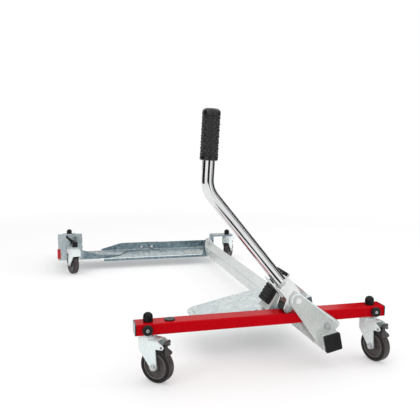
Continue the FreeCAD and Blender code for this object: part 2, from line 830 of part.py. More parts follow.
lever_bolt = bolt("lever_bolt", "lever_bolt / 2", "pin_head / 2", "pin_head_thick", "2 * %s" % PLATE_OUT)
lever_bolt.Placement = spot("lever_right", PLATE_OUT, "lever_up", X_AXIS, 90)
keep("lever_bolt", lever_bolt)

CHEEK_OUT = "(%s - part_gap)" % PLATE_IN
CHEEK_IN = "(%s - socket_cheek)" % CHEEK_OUT
ROLLER_DOWN = "(lever_up - beam_under - beam_height - part_gap - roller_dia / 2)"
ROLLER_LEFT = "sqrt(roller_arm * roller_arm - %s * %s)" % (ROLLER_DOWN, ROLLER_DOWN)
ROLLER_X = "(-%s * cos(lever_lean) - %s * sin(lever_lean))" % (ROLLER_LEFT, ROLLER_DOWN)
ROLLER_Z = "(%s * sin(lever_lean) - %s * cos(lever_lean))" % (ROLLER_LEFT, ROLLER_DOWN)

socket = plain("lever_socket", "XZ", [[
    ("0", "0", "socket_round"),
    ("socket_half", "socket_seat"),
    ("socket_half", "socket_top"),
    ("-socket_half", "socket_top"),
    ("-socket_half", "socket_seat"),
    (ROLLER_X, ROLLER_Z, "tab_round"),
]], "2 * %s" % CHEEK_OUT)
pocket(socket, "YZ", [box_wire("-%s" % CHEEK_IN, "-socket_round - socket_open", CHEEK_IN, "socket_seat")])
pocket(socket, "XY", [("0", "0", "lever_dia / 2 + fit_clear")])
pocket(socket, "XZ", [("0", "0", BOLT_HOLE), (ROLLER_X, ROLLER_Z, "roller_pin / 2 + fit_clear")])
socket.Placement = lever_spot()
keep("lever_socket", socket)

tube = new_body("lever_tube")
path = tube.newObject("Sketcher::SketchObject", "path")
path.AttachmentSupport = (next(f for f in tube.Origin.OriginFeatures if f.Role == "XZ_Plane"), [""])
path.MapMode = "FlatFace"
BACK = "lever_bend * tan(lever_turn / 2)"
ends = [
    ("0", "socket_seat"),
    ("0", "lever_run - %s" % BACK),
    ("%s * sin(lever_turn)" % BACK, "lever_run + %s * cos(lever_turn)" % BACK),
    ("lever_top * sin(lever_turn)", "lever_run + lever_top * cos(lever_turn)"),
]
spots = [V(num(x), num(z), 0) for x, z in ends]
low = path.addGeometry(Part.LineSegment(spots[0], spots[1]), False)
turn = math.radians(num("lever_turn"))
bow = Part.Circle(V(num("lever_bend"), num(ends[1][1]), 0), Z_AXIS, num("lever_bend"))
bend = path.addGeometry(Part.ArcOfCircle(bow, math.pi - turn, math.pi), False)
high = path.addGeometry(Part.LineSegment(spots[2], spots[3]), False)
path.addConstraint(Sketcher.Constraint("Tangent", low, 2, bend, 2))
path.addConstraint(Sketcher.Constraint("Tangent", bend, 1, high, 1))
tie(path, "Radius", bend, "lever_bend")
tie(path, "DistanceX", low, 1, ends[0][0])
tie(path, "DistanceY", low, 1, ends[0][1])
path.addConstraint(Sketcher.Constraint("Vertical", low))
tie(path, "DistanceX", high, 2, ends[3][0])
tie(path, "DistanceY", high, 2, ends[3][1])
pipe = tube.newObject("PartDesign::AdditivePipe", "pipe")
pipe.Profile = draw(tube, "XY", [
    ("0", "0", "lever_dia / 2"),
    ("0", "0", "lever_dia / 2 - lever_wall"),
], "socket_seat")
pipe.Spine = (path, [])
doc.recompute()
tube.Placement = lever_spot()
keep("lever_tube", tube)

grip = turned("lever_grip", [
    ("lever_dia / 2 + fit_clear", "grip_start"),
    ("grip_dia / 2 - grip_foot", "grip_start + grip_foot", "grip_foot"),
    ("grip_dia / 2 - grip_round", "lever_top + grip_end - grip_round", "grip_round"),
    ("0", "lever_top + grip_end"),
    ("0", "lever_top"),
    ("lever_dia / 2 + fit_clear", "lever_top"),
])
grip.Placement = lever_spot("0", "lever_run").multiply(
    FreeCAD.Placement(V(), FreeCAD.Rotation(Y_AXIS, num("lever_turn"))))
keep("lever_grip", grip)

strap_holes = [("0", "strap_top - strap_edge - %d * strap_pitch" % i, "strap_hole / 2") for i in range(4)]
strap = plain("lever_strap", "YZ", [
    box_wire("-strap_width / 2", "strap_low", "strap_width / 2", "strap_top", "strap_round"),
] + strap_holes, "strap_thick", "-socket_half - strap_thick", middle=False)
strap.Placement = lever_spot()
keep("lever_strap", strap)

roller_pin = turned("roller_pin", [
    ("0", "-%s" % CHEEK_OUT),
    ("roller_pin / 2", "-%s" % CHEEK_OUT),
    ("roller_pin / 2", CHEEK_OUT),
    ("0", CHEEK_OUT),
])
roller_pin.Placement = lever_spot(ROLLER_X, ROLLER_Z).multiply(spot("0", "0", "0", X_AXIS, 90))
keep("roller_pin", roller_pin)

roller_half = "(%s - part_gap)" % CHEEK_IN
roller = turned("cam_roller", [
    ("roller_pin / 2 + fit_clear", "-%s" % roller_half),
    ("roller_dia / 2 - roller_round", "-%s + roller_round" % roller_half, "roller_round"),
    ("roller_dia / 2 - roller_round", "%s - roller_round" % roller_half, "roller_round"),
    ("roller_pin / 2 + fit_clear", roller_half),
])
roller.Placement = roller_pin.Placement
keep("cam_roller", roller)

# Front channel: folded sheet under the stand tray, with the front pivot's ear and the right-hand shelf.
IN_REAR = "(stand_rear + sheet + part_gap)"
WALL_IN = "(%s + part_gap)" % STAND_FAR
WALL_OUT = "(%s + sheet)" % WALL_IN
FLOOR_TOP = "(stand_floor - part_gap)"
FLOOR_LOW = "(%s - sheet)" % FLOOR_TOP
BEND_OUT = "(sheet + sheet_bend)"
CHANNEL_LONG = "channel_left + channel_right"
SLIDE_R = "(slot_half - part_gap)"
SLOTS = ["-slot_first", "-slot_first + slot_pitch"]

channel = plain("channel_sheet", "YZ", [[
    (IN_REAR, "%s - channel_lip" % FLOOR_LOW),
    ("%s + sheet" % IN_REAR, "%s - channel_lip" % FLOOR_LOW),
    ("%s + %s" % (IN_REAR, BEND_OUT), "%s - %s" % (FLOOR_TOP, BEND_OUT), "-sheet_bend"),
    ("%s - %s" % (WALL_OUT, BEND_OUT), "%s + %s" % (FLOOR_LOW, BEND_OUT), BEND_OUT),
    (WALL_OUT, "channel_far"),
    (WALL_IN, "channel_far"),
    ("%s - %s" % (WALL_OUT, BEND_OUT), "%s + %s" % (FLOOR_LOW, BEND_OUT), "-sheet_bend"),
    ("%s + %s" % (IN_REAR, BEND_OUT), "%s - %s" % (FLOOR_TOP, BEND_OUT), BEND_OUT),
]], CHANNEL_LONG, "(channel_right - channel_left) / 2")
pocket(channel, "XZ", [[
    ("-channel_left - cut_over", "channel_far - channel_nose * (1 + cut_over / channel_slope)"),
    ("-channel_left + channel_slope", "channel_far"),
    ("-channel_left + channel_slope", "channel_far + cut_over"),
    ("-channel_left - cut_over", "channel_far + cut_over"),
]])
pad(channel, "XZ", [[
    ("pivot_right - ear_round - channel_ear", FLOOR_LOW),
    ("pivot_right + ear_round + channel_ear", FLOOR_LOW),
    ("pivot_right", PIVOT_UP, "ear_round"),
]], "sheet", "-%s - sheet / 2" % IN_REAR)
pocket(channel, "XZ", [("pivot_right", PIVOT_UP, PIN_HOLE)])
pocket(channel, "XZ", [(middle, "slot_up", "%s + fit_clear" % SLIDE_R) for middle in SLOTS])
keep("front_channel", channel)

EAR_REAR = "(%s - ear_thick - part_gap)" % SPINE_FRONT
front_pin = bolt("front_pivot_pin", "pivot_pin / 2", "pin_head / 2", "pin_head_thick",
                 "%s + sheet - %s" % (IN_REAR, EAR_REAR))
front_pin.Placement = spot("pivot_right", "%s + sheet" % IN_REAR, PIVOT_UP, X_AXIS, 90)
keep("front_pivot_pin", front_pin)

SHELF_LOW = "beam_under"
SHELF_TOP = "(beam_under + shelf_thick)"
SHELF_BEND = "(shelf_thick + sheet_bend)"
FOOT_BEND = ("channel_right - sheet_bend", "%s + %s" % (FLOOR_TOP, SHELF_BEND))
HEAD_BEND = ("channel_right + %s" % SHELF_BEND, "%s - %s" % (SHELF_TOP, SHELF_BEND))
right_shelf = plain("right_shelf", "XZ", [[
    ("channel_right - shelf_flange", FLOOR_TOP),
    FOOT_BEND + (SHELF_BEND,),
    HEAD_BEND + ("-sheet_bend",),
    ("%s + shelf_tail" % RIGHT_STEM, SHELF_LOW),
    ("%s + shelf_tail" % RIGHT_STEM, SHELF_TOP),
    HEAD_BEND + (SHELF_BEND,),
    FOOT_BEND + ("-sheet_bend",),
    ("channel_right - shelf_flange", "%s + shelf_thick" % FLOOR_TOP),
]], "shelf_width", "-" + CHANNEL_MID)
soften(right_shelf, "shelf_round", upright_at("X", "%s + shelf_tail" % RIGHT_STEM))
pocket(right_shelf, "XY", [(RIGHT_STEM, CHANNEL_MID, STUD_HOLE)])
keep("right_shelf", right_shelf)

# Stand tray: folded sheet that lies in the channel, cut to a tongue on the right and tall at its left end.
NEAR_BEND = ("stand_rear + %s" % BEND_OUT, "stand_floor + %s" % BEND_OUT)
FAR_BEND = ("%s - %s" % (STAND_FAR, BEND_OUT), "stand_floor + %s" % BEND_OUT)
TRAY_FLOOR = "(stand_floor + sheet)"
folded = plain("stand_sheet", "YZ", [[
    NEAR_BEND + (BEND_OUT,),
    FAR_BEND + (BEND_OUT,),
    (STAND_FAR, "near_top"),
    ("%s - sheet" % STAND_FAR, "near_top"),
    FAR_BEND + ("-sheet_bend",),
    NEAR_BEND + ("-sheet_bend",),
    ("stand_rear + sheet", "near_top"),
    ("stand_rear", "near_top"),
]], "stand_left - strip_right", "-(stand_left + strip_right) / 2")
near_cut = plain("near_cut", "XZ", [[
    ("-stand_step", "near_wall"),
    ("-stand_bend", "near_low"),
    ("-tongue_right", "near_low"),
    ("-tongue_right", "near_top + cut_over"),
    ("-stand_step", "near_top + cut_over"),
]], "stand_width / 2", "-stand_rear - stand_width / 8")
far_cut = plain("far_cut", "XZ", [[
    ("-stand_left - cut_over", SHELF_LOW),
    ("-stand_step", SHELF_LOW),
    ("-stand_step", TRAY_FLOOR),
    ("-flange_left", TRAY_FLOOR),
    ("-flange_left", "%s + flange_nose" % TRAY_FLOOR),
    ("-flange_left + flange_rise", "flange_top"),
    ("-strip_right + cut_over", "flange_top"),
    ("-strip_right + cut_over", "near_top + cut_over"),
    ("-stand_left - cut_over", "near_top + cut_over"),
]], "stand_width / 2", "-%s + stand_width / 8" % STAND_FAR)
tongue_cut = plain("tongue_cut", "XY", [[
    ("-stand_bend", "stand_rear - cut_over"),
    ("-strip_right + cut_over", "stand_rear - cut_over"),
    ("-strip_right + cut_over", "%s - strip_wide" % STAND_FAR),
    ("-tip_right", "stand_rear + tip_in"),
    ("-tongue_right", "stand_rear + tongue_in"),
    ("-stand_bend", "stand_rear"),
]], "near_top", "stand_floor - cut_over", middle=False)
slot_cuts = [plain("slot_cut", "XZ", [[
    ("%s - slot_travel" % middle, "slot_up", "slot_half"),
    ("%s + slot_travel" % middle, "slot_up", "slot_half"),
]], "sheet + 2 * part_gap", "-%s + sheet / 2" % STAND_FAR) for middle in SLOTS]
trimmed = cut_from("stand_tray", folded, [near_cut, far_cut, tongue_cut] + slot_cuts)
WING_RUN = "(stand_bend - tongue_right)"
WING_LONG = "sqrt(%s ^ 2 + tongue_in ^ 2)" % WING_RUN
wing = plain("wing", "XZ", [[
    ("0", "0"),
    (WING_LONG, "0"),
    (WING_LONG, "wing_tip"),
    ("0", "near_low - stand_floor"),
]], "sheet", "-sheet / 2")
WING_TURN = math.degrees(math.atan2(num("tongue_in"), num(WING_RUN)))
wing.Placement = spot("-stand_bend", "stand_rear", "stand_floor", Z_AXIS, WING_TURN)
end_wall = plain("end_wall", "YZ", [box_wire(
    "stand_rear + sheet + guard_thick + guard_gap", "stand_floor + sheet / 2",
    "%s - sheet / 2" % STAND_FAR, "near_wall")], "sheet", "-stand_left", middle=False)
foot_panel = plain("foot_panel", "XY", [box_wire(
    "-stand_left + sheet + foot_edge", "stand_rear + %s + foot_edge" % BEND_OUT,
    "-stand_bend", "%s - %s - foot_edge" % (STAND_FAR, BEND_OUT), "foot_round")],
    "sheet / 2 + foot_rise", "stand_floor + sheet / 2", middle=False)
keep("stand_tray", joined("stand_tray", [trimmed, wing, end_wall, foot_panel]))

NEAR_FOLD = ("stand_rear - %s" % SHELF_BEND, "%s + %s" % (SHELF_LOW, SHELF_BEND))
near_shelf = plain("near_shelf", "YZ", [[
    ("%s - shelf_tail" % NEAR_STEM, SHELF_LOW),
    NEAR_FOLD + (SHELF_BEND,),
    ("stand_rear", "%s + shelf_flange" % SHELF_TOP),
    ("stand_rear - shelf_thick", "%s + shelf_flange" % SHELF_TOP),
    NEAR_FOLD + ("-sheet_bend",),
    ("%s - shelf_tail" % NEAR_STEM, SHELF_TOP),
]], "shelf_width", "-near_left")
soften(near_shelf, "shelf_round", upright_at("Y", "%s - shelf_tail" % NEAR_STEM))
pocket(near_shelf, "XY", [("-near_left", NEAR_STEM, STUD_HOLE)])
keep("near_shelf", near_shelf)

FAR_IN = "(%s - sheet)" % STAND_FAR
far_shelf = plain("far_shelf", "YZ", [[
    ("%s - shelf_thick" % FAR_IN, "%s - shelf_flange" % SHELF_LOW),
    (FAR_IN, "%s - shelf_flange" % SHELF_LOW),
    (FAR_IN, SHELF_LOW),
    ("%s + shelf_tail" % FAR_STEM, SHELF_LOW),
    ("%s + shelf_tail" % FAR_STEM, SHELF_TOP),
    (FAR_IN, SHELF_LOW, "shelf_thick"),
]], "shelf_width", "-far_left")
soften(far_shelf, "shelf_round", upright_at("Y", "%s + shelf_tail" % FAR_STEM))
pocket(far_shelf, "XY", [("-far_left", FAR_STEM, STUD_HOLE)])
keep("far_shelf", far_shelf)

GUARD_OUT, GUARD_TIP = "-stand_left - guard_thick", "-stand_left + guard_deep"
guard = plain("edge_guard", "XY", [[
    (GUARD_OUT, "stand_rear - guard_thick"),
    (GUARD_TIP, "stand_rear - guard_thick"),
    (GUARD_TIP, "stand_rear"),
    ("-stand_left", "stand_rear"),
    ("-stand_left", "stand_rear + sheet"),
    (GUARD_TIP, "stand_rear + sheet"),
    (GUARD_TIP, "stand_rear + sheet + guard_thick"),
    (GUARD_OUT, "stand_rear + sheet + guard_thick"),
]], "guard_tall", "guard_low", middle=False)
keep("edge_guard", guard)

slides = []
for middle in SLOTS:
    slide = bolt("slide_bolt", SLIDE_R, "slide_head / 2", "slide_head_thick", "2 * (sheet + part_gap)")
    slide.Placement = spot(middle, WALL_OUT, "slot_up", X_AXIS, 90)
    slides.append(slide)
keep("slide_bolts", together("slide_bolts", slides))

doc.recompute()

for thing in doc.Objects:
    if "Invalid" in thing.State or "Error" in thing.State:
        raise RuntimeError("failed object: " + thing.Label)
for label, thing in nodes.items():
    if thing.Shape.isNull() or not thing.Shape.isValid():
        raise RuntimeError("bad shape: " + label)

# The part's own origin lies on the floor under the middle of its bounding box.
box = FreeCAD.BoundBox()
for thing in nodes.values():
    box.add(thing.Shape.optimalBoundingBox(False))
shift = V(-(box.XMin + box.XMax) / 2, -(box.YMin + box.YMax) / 2, -box.ZMin)

os.makedirs("parts", exist_ok=True)
for label, thing in nodes.items():
    solid = thing.Shape.copy()
    solid.translate(shift)
    solid.exportStep("parts/%s.step" % label)

print("nodes", len(nodes))
print("box", box.XMin, box.XMax, box.YMin, box.YMax, box.ZMin, box.ZMax)
print("shift", shift.x, shift.y, shift.z)
for label, (stem_x, stem_y, mount, heading) in CASTORS.items():
    print("castor", label, num(stem_x), num(stem_y), heading)
print("pedal", num(PEDAL_X), num(PEDAL_UP))
print("pivot", num("pivot_right"), num(PIVOT_UP), "lever", num("lever_right"), num("lever_up"))
print("roller", nodes["cam_roller"].Placement.Base.x, nodes["cam_roller"].Placement.Base.z)
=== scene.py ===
"""Wheeled mover dolly: finishes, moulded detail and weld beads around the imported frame.

Lengths are metres, unless a comment says millimetres. Beam coordinates have their origin on the
floor under the middle of the rear beam: X along the beam to the right, Y forwards, Z up.
"""

import json
import math

import bmesh
import bpy
import numpy as np
from mathutils import Matrix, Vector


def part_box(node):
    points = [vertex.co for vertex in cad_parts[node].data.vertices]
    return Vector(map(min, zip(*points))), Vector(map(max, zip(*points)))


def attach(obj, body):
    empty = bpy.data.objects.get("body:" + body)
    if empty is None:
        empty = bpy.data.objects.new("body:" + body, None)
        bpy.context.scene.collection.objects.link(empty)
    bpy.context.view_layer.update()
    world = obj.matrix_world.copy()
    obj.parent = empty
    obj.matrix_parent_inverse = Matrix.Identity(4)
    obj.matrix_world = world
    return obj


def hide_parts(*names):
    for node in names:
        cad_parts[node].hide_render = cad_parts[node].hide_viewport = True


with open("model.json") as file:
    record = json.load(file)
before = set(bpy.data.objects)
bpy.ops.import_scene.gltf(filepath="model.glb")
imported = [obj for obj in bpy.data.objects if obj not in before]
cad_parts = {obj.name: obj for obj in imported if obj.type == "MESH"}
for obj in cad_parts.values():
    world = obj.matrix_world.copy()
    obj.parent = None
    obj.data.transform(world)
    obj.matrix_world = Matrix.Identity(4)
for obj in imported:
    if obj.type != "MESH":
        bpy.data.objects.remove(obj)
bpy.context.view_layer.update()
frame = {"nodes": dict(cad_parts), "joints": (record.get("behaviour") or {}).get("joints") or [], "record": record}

nodes = frame["nodes"]
slot_of = {row["node"]: row["material_slot"] for row in frame["record"]["subparts"]}
joints = {row["name"]: row for row in frame["joints"]}
beam_low, beam_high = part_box("rear_beam")
BEAM = np.array([(beam_low.x + beam_high.x) / 2, (beam_low.y + beam_high.y) / 2, 0.0])
MM = 0.001
TURN = 2 * math.pi
RIGHT, FORWARDS, UP = np.eye(3)
CASTORS = ("left", "right", "stand_near", "stand_far", "front")


# Finishes

# spans of a pattern's values, over which a finish goes from one look to the other
GRAIN_SPAN, DUST_SPAN, RUB_SPAN = (0.3, 0.7), (0.3, 0.75), (0.35, 0.75)
CRYSTAL_SPAN, FROST_SPAN = (0.5, 1.5), (0.4, 1.5)
UPWARD_SPAN = (0.35, 0.85)
CRYSTALS = 110.0  # zinc crystals per metre
PALE_LINE, LEFT_PALE_SHARE = (-0.375, -0.355), 0.55  # beam X; share of the pale tint on the left
FINE, MEDIUM, COARSE = 0.01 * MM, 0.03 * MM, 0.05 * MM  # depths of a skin's relief


class Shading:
    """A tree of shader nodes."""

    def __init__(self, owner):
        owner.use_nodes = True
        self.tree = owner.node_tree

    def add(self, kind, links=None, **settings):
        """New node with its inputs linked or set, and its own settings."""
        node = self.tree.nodes.new(kind)
        for key, value in settings.items():
            setattr(node, key, value)
        for key, value in (links or {}).items():
            if isinstance(value, bpy.types.NodeSocket):
                self.tree.links.new(value, node.inputs[key])
            else:
                node.inputs[key].default_value = value
        return node

    def combined(self, operation, first, second):
        """One sum on two numbers."""
        return self.add("ShaderNodeMath", {0: first, 1: second}, operation=operation).outputs[0]

    def seen(self):
        """1 where the camera, a mirror or glass looks, and 0 for the light that falls on things."""
        rays = self.add("ShaderNodeLightPath").outputs
        looked = self.combined("MAXIMUM", rays["Is Camera Ray"], rays["Is Glossy Ray"])
        return self.combined("MAXIMUM", looked, rays["Is Transmission Ray"])


class Finish(Shading):
    """One surface shader, fed by patterns on Object coordinates."""

    def __init__(self, name, **sockets):
        self.material = bpy.data.materials.new(name)
        super().__init__(self.material)
        self.shader = next(n for n in self.tree.nodes if n.type == "BSDF_PRINCIPLED")
        here = self.add("ShaderNodeTexCoord").outputs
        self.place, self.facing = here["Object"], here["Normal"]
        for socket, value in sockets.items():
            self.shader.inputs[socket.replace("_", " ")].default_value = value

    def stretched(self, x, y, z):
        """Object coordinates scaled along each axis."""
        links = {"Vector": self.place, "Scale": (x, y, z)}
        return self.add("ShaderNodeMapping", links).outputs[0]

    def grain(self, scale, detail=3.0, coarse=0.55, place=None):
        """Cloudy pattern, 0 to 1; scale is features per metre."""
        links = {"Vector": place or self.place, "Scale": scale, "Detail": detail,
                 "Roughness": coarse}
        return self.add("ShaderNodeTexNoise", links).outputs["Fac"]

    def cells(self, scale):
        """One random grey per cell of a crystal pattern."""
        links = {"Vector": self.place, "Scale": scale, "Randomness": 1.0}
        colour = self.add("ShaderNodeTexVoronoi", links).outputs["Color"]
        return self.add("ShaderNodeSeparateColor", {"Color": colour}).outputs["Red"]

    def marked(self, label):
        """The piece's own attribute of that name."""
        return self.add("ShaderNodeAttribute", attribute_name=label).outputs["Fac"]

    def between(self, amount, low, high, span=GRAIN_SPAN):
        """Number that goes from low to high while amount goes over the span."""
        links = {"Value": amount, "From Min": span[0], "From Max": span[1],
                 "To Min": low, "To Max": high}
        return self.add("ShaderNodeMapRange", links).outputs["Result"]

    def tint(self, amount, low, high, span=GRAIN_SPAN):
        """Colour that goes from low to high while amount goes over the span."""
        return self.mixed(self.between(amount, 0.0, 1.0, span), (*low, 1.0), (*high, 1.0))

    def mixed(self, share, low, high):
        """Mix of two colours, each a value or a socket."""
        links = {0: share, 6: low, 7: high}
        return self.add("ShaderNodeMix", links, data_type="RGBA").outputs[2]

    def part_of(self, vector, axis):
        """One coordinate of a vector."""
        return self.add("ShaderNodeSeparateXYZ", {"Vector": vector}).outputs[axis]

    def relief(self, height, depth, strength):
        """Bump of a given depth."""
        links = {"Height": height, "Distance": depth, "Strength": strength}
        return self.add("ShaderNodeBump", links).outputs["Normal"]

    def done(self, colour, roughness, relief=None):
        """Feeds the shader, and gives the material."""
        feeds = {"Base Color": colour, "Roughness": roughness, "Normal": relief}
        for socket, value in feeds.items():
            if value is not None:
                self.tree.links.new(value, self.shader.inputs[socket])
        return self.material


def gloss_red():
    """Stoved gloss paint: deep red with a faint orange-peel wave."""
    f = Finish("gloss_red", Metallic=0.0, IOR=1.5, Specular_IOR_Level=0.06)
    return f.done(f.tint(f.grain(6.0, 2.0), (0.475, 0.0004, 0.0045), (0.54, 0.0008, 0.0065)),
                  f.between(f.grain(180.0), 0.16, 0.23),
                  f.relief(f.grain(240.0, 2.0), FINE, 0.35))


def galvanised(name, dull=(0.62, 0.68, 0.69), pale_line=None):
    """Galvanised sheet: blue-grey zinc crystals of about 9 mm with rolling streaks.

    Faces that look up take a pale tint, a painted highlight and reflection, while upright faces keep
    a dark tint as painted shade; what lies left of the two X values of a pale line, if one is given, is pale too.
    """
    f = Finish(name, Metallic=0.92, IOR=1.5)
    streak = f.grain(14.0, 4.0, 0.6, f.stretched(0.6, 7.0, 7.0))
    frost = f.combined("ADD", f.cells(CRYSTALS), streak)
    # painted light: faces that look up take the pale tint, and upright faces keep the dark tint as painted shade
    pale = f.between(f.part_of(f.facing, "Z"), 0.0, 1.0, UPWARD_SPAN)
    if pale_line:
        left = f.between(f.part_of(f.place, "X"), LEFT_PALE_SHARE, 0.0, pale_line)
        pale = f.combined("MAXIMUM", pale, left)
    shaded_zinc = f.tint(frost, (0.13, 0.19, 0.225), (0.27, 0.345, 0.385), CRYSTAL_SPAN)
    lit_and_pale_zinc = f.tint(frost, dull, (0.74, 0.79, 0.79), CRYSTAL_SPAN)
    return f.done(f.mixed(pale, shaded_zinc, lit_and_pale_zinc), f.between(frost, 0.24, 0.40, FROST_SPAN),
                  f.relief(f.grain(420.0, 3.0), 2 * FINE, 0.5))


def bright_zinc(name, low, high, metal, smooth=0.16, rough=0.32):
    """Bright zinc plate on pressed steel: silver, with fine drawing lines and some clouding."""
    f = Finish(name, Metallic=metal, IOR=1.5)
    lines = f.grain(60.0, 5.0, 0.7, f.stretched(12.0, 0.8, 1.6))
    return f.done(f.tint(f.grain(24.0, 3.0), low, high), f.between(lines, smooth, rough),
                  f.relief(lines, 2.5 * FINE, 0.45 * metal))


def turned_steel():
    """Zinc-plated steel of pins and bolts: grey with fine tool marks."""
    f = Finish("turned_steel", Metallic=1.0, IOR=1.5)
    marks = f.grain(900.0, 4.0, 0.7)
    return f.done(f.tint(f.grain(130.0), (0.50, 0.51, 0.52), (0.70, 0.71, 0.71)),
                  f.between(marks, 0.20, 0.36), f.relief(marks, FINE, 0.4))


def polished_chrome():
    """Polished chrome: near-mirror, with faint rub marks along the tube."""
    f = Finish("polished_chrome", Metallic=1.0, IOR=1.5)
    rub = f.grain(75.0, 4.0, 0.65, f.stretched(1.0, 9.0, 1.0))
    return f.done(f.tint(f.grain(18.0), (0.72, 0.725, 0.735), (0.80, 0.805, 0.81)),
                  f.between(rub, 0.045, 0.12, RUB_SPAN))


def moulded_plastic(name, polish, shine=0.20, low=(0.005, 0.005, 0.006),
                    high=(0.012, 0.012, 0.013)):
    """Moulded plastic, black unless told: fine grain under a satin or a shiny skin."""
    f = Finish(name, Metallic=0.0, IOR=1.47, Specular_IOR_Level=shine)
    grain = f.grain(1500.0, 3.0)
    return f.done(f.tint(f.grain(45.0), low, high), f.between(grain, polish, polish * 1.5),
                  f.relief(grain, MEDIUM, 0.4))


def soft_rubber():
    """Black rubber: matt, a little dusty in patches, with a pebbled skin."""
    f = Finish("soft_rubber", Metallic=0.0, IOR=1.5, Specular_IOR_Level=0.25)
    grain = f.grain(1100.0, 4.0)
    dust = f.grain(60.0, 4.0)
    return f.done(f.tint(dust, (0.007, 0.007, 0.007), (0.020, 0.019, 0.019), DUST_SPAN),
                  f.between(grain, 0.50, 0.72), f.relief(grain, COARSE, 0.5))


def grip_rubber():
    """Grip rubber: black, a little shiny on the lozenges' edges, where use has rubbed it."""
    f = Finish("grip_rubber", Metallic=0.0, IOR=1.52, Sheen_Weight=0.7, Sheen_Roughness=0.18)
    grain = f.grain(900.0, 3.0)
    dust = f.grain(55.0, 4.0)
    return f.done(f.tint(dust, (0.006, 0.006, 0.006), (0.014, 0.013, 0.013), DUST_SPAN),
                  f.between(grain, 0.20, 0.30), f.relief(grain, MEDIUM, 0.4))


def tyre_grey():
    """Castor wheel: near-black walls between a warm grey disc and a grey tread.

    The grey attribute says how far each point is disc or grey tread, and the bead attribute
    marks the rim bead, which is painted pale as a painted highlight.
    """
    f = Finish("tyre_grey", Metallic=0.0, IOR=1.5, Specular_IOR_Level=0.20)
    dust = f.grain(85.0, 5.0, 0.65)
    wall = f.tint(dust, (0.008, 0.006, 0.006), (0.018, 0.015, 0.015), DUST_SPAN)
    grey = f.tint(dust, (0.060, 0.051, 0.051), (0.098, 0.086, 0.085), DUST_SPAN)
    two_tone = f.mixed(f.marked("grey"), wall, grey)
    # the pale colour on the rim bead is a painted highlight
    return f.done(f.mixed(f.marked("bead"), two_tone, (0.165, 0.156, 0.153, 1.0)),
                  f.between(dust, 0.20, 0.36), f.relief(f.grain(1000.0, 3.0), MEDIUM, 0.4))


def guard_red():
    """Red push-on edge guard: shiny soft plastic."""
    f = Finish("guard_red", Metallic=0.0, IOR=1.47)
    return f.done(f.tint(f.grain(70.0), (0.48, 0.004, 0.010), (0.60, 0.008, 0.016)),
                  f.between(f.grain(500.0), 0.26, 0.38))


def weld_metal():
    """Plated weld bead: slightly darker and rougher than the sheet beside it."""
    f = Finish("weld_metal", Metallic=0.95, IOR=1.5)
    scale = f.grain(700.0, 4.0, 0.7)
    return f.done(f.tint(scale, (0.44, 0.45, 0.455), (0.66, 0.67, 0.67)),
                  f.between(scale, 0.28, 0.48), f.relief(scale, 4 * FINE, 0.5))


# the finish of each material slot
FINISHES = {
    "red_paint": gloss_red(),
    "zinc": bright_zinc("bright_zinc", (0.50, 0.50, 0.50), (0.66, 0.66, 0.66), 0.95),
    "steel": turned_steel(),
    "chrome": polished_chrome(),
    "black_plastic": moulded_plastic("moulded_black", 0.30),
    "black_rubber": soft_rubber(),
    "wheel_grey": tyre_grey(),
    "red_plastic": guard_red(),
}
WELD_FINISH = weld_metal()
SHEET_FINISH = galvanised("galvanised_sheet")
TREAD_FINISH = galvanised("galvanised_tread", dull=(0.53, 0.59, 0.60))
TRAY_FINISH = galvanised("galvanised_tray", pale_line=[BEAM[0] + x for x in PALE_LINE])
SHINY_BLACK = moulded_plastic("shiny_black", 0.14)
CAP_BLACK = moulded_plastic("cap_black", 0.07, 0.5)
ROCKER_GREY = moulded_plastic("rocker_grey", 0.20, low=(0.056, 0.051, 0.051),
                              high=(0.088, 0.080, 0.080))
# forks: zinc painted pale and barely metallic, a painted reflection of the bright surround, tinted cyan against
# the red beam's bounce
FORK_ZINC = bright_zinc("fork_zinc", (0.76, 0.84, 0.84), (0.84, 0.90, 0.90), 0.20)
PLATE_ZINC = bright_zinc("plate_zinc", (0.60, 0.63, 0.61), (0.67, 0.70, 0.68), 0.30)
POLISHED_ZINC = bright_zinc("polished_zinc", (0.68, 0.69, 0.69), (0.82, 0.83, 0.83), 0.9,
                            smooth=0.08, rough=0.18)
GRIP_RUBBER = grip_rubber()

# nodes whose finish differs from their slot's
OWN_FINISH = {
    SHEET_FINISH: ["front_channel", "far_shelf", "right_shelf"],
    TRAY_FINISH: ["stand_tray", "near_shelf"],
    TREAD_FINISH: ["wheel_tray"],
    CAP_BLACK: ["beam_end_caps"],
    SHINY_BLACK: ["dome_caps", "stand_dome_caps", "beam_round_plug"],
    FORK_ZINC: ["castor_%s_fork" % key for key in CASTORS],
    PLATE_ZINC: ["fork_plate_rear", "fork_plate_front", "spine_tube", "front_ear",
                 "stop_bracket"],
    POLISHED_ZINC: ["lever_socket", "lever_strap"],
    FINISHES["chrome"]: ["lever_bolt"],
}
finish_of = {name: FINISHES[slot_of[name]] for name in nodes}
finish_of.update({name: finish for finish, names in OWN_FINISH.items() for name in names})
for name, node in nodes.items():
    node.data.materials.clear()
    node.data.materials.append(finish_of[name])


# Surfaces

SAME_SPOT, SLIVER = 1e-6, 1e-7


def smooth_step(amount):
    """0 below 0, 1 above 1, and an easy curve between."""
    t = np.clip(amount, 0.0, 1.0)
    return t * t * (3 - 2 * t)


def fall_away(past, radius):
    """How far a quarter round has fallen, as past goes from 0 at its start to 1 at its end."""
    return radius * (1 - np.sqrt(1 - np.clip(past, 0.0, 1.0) ** 2))


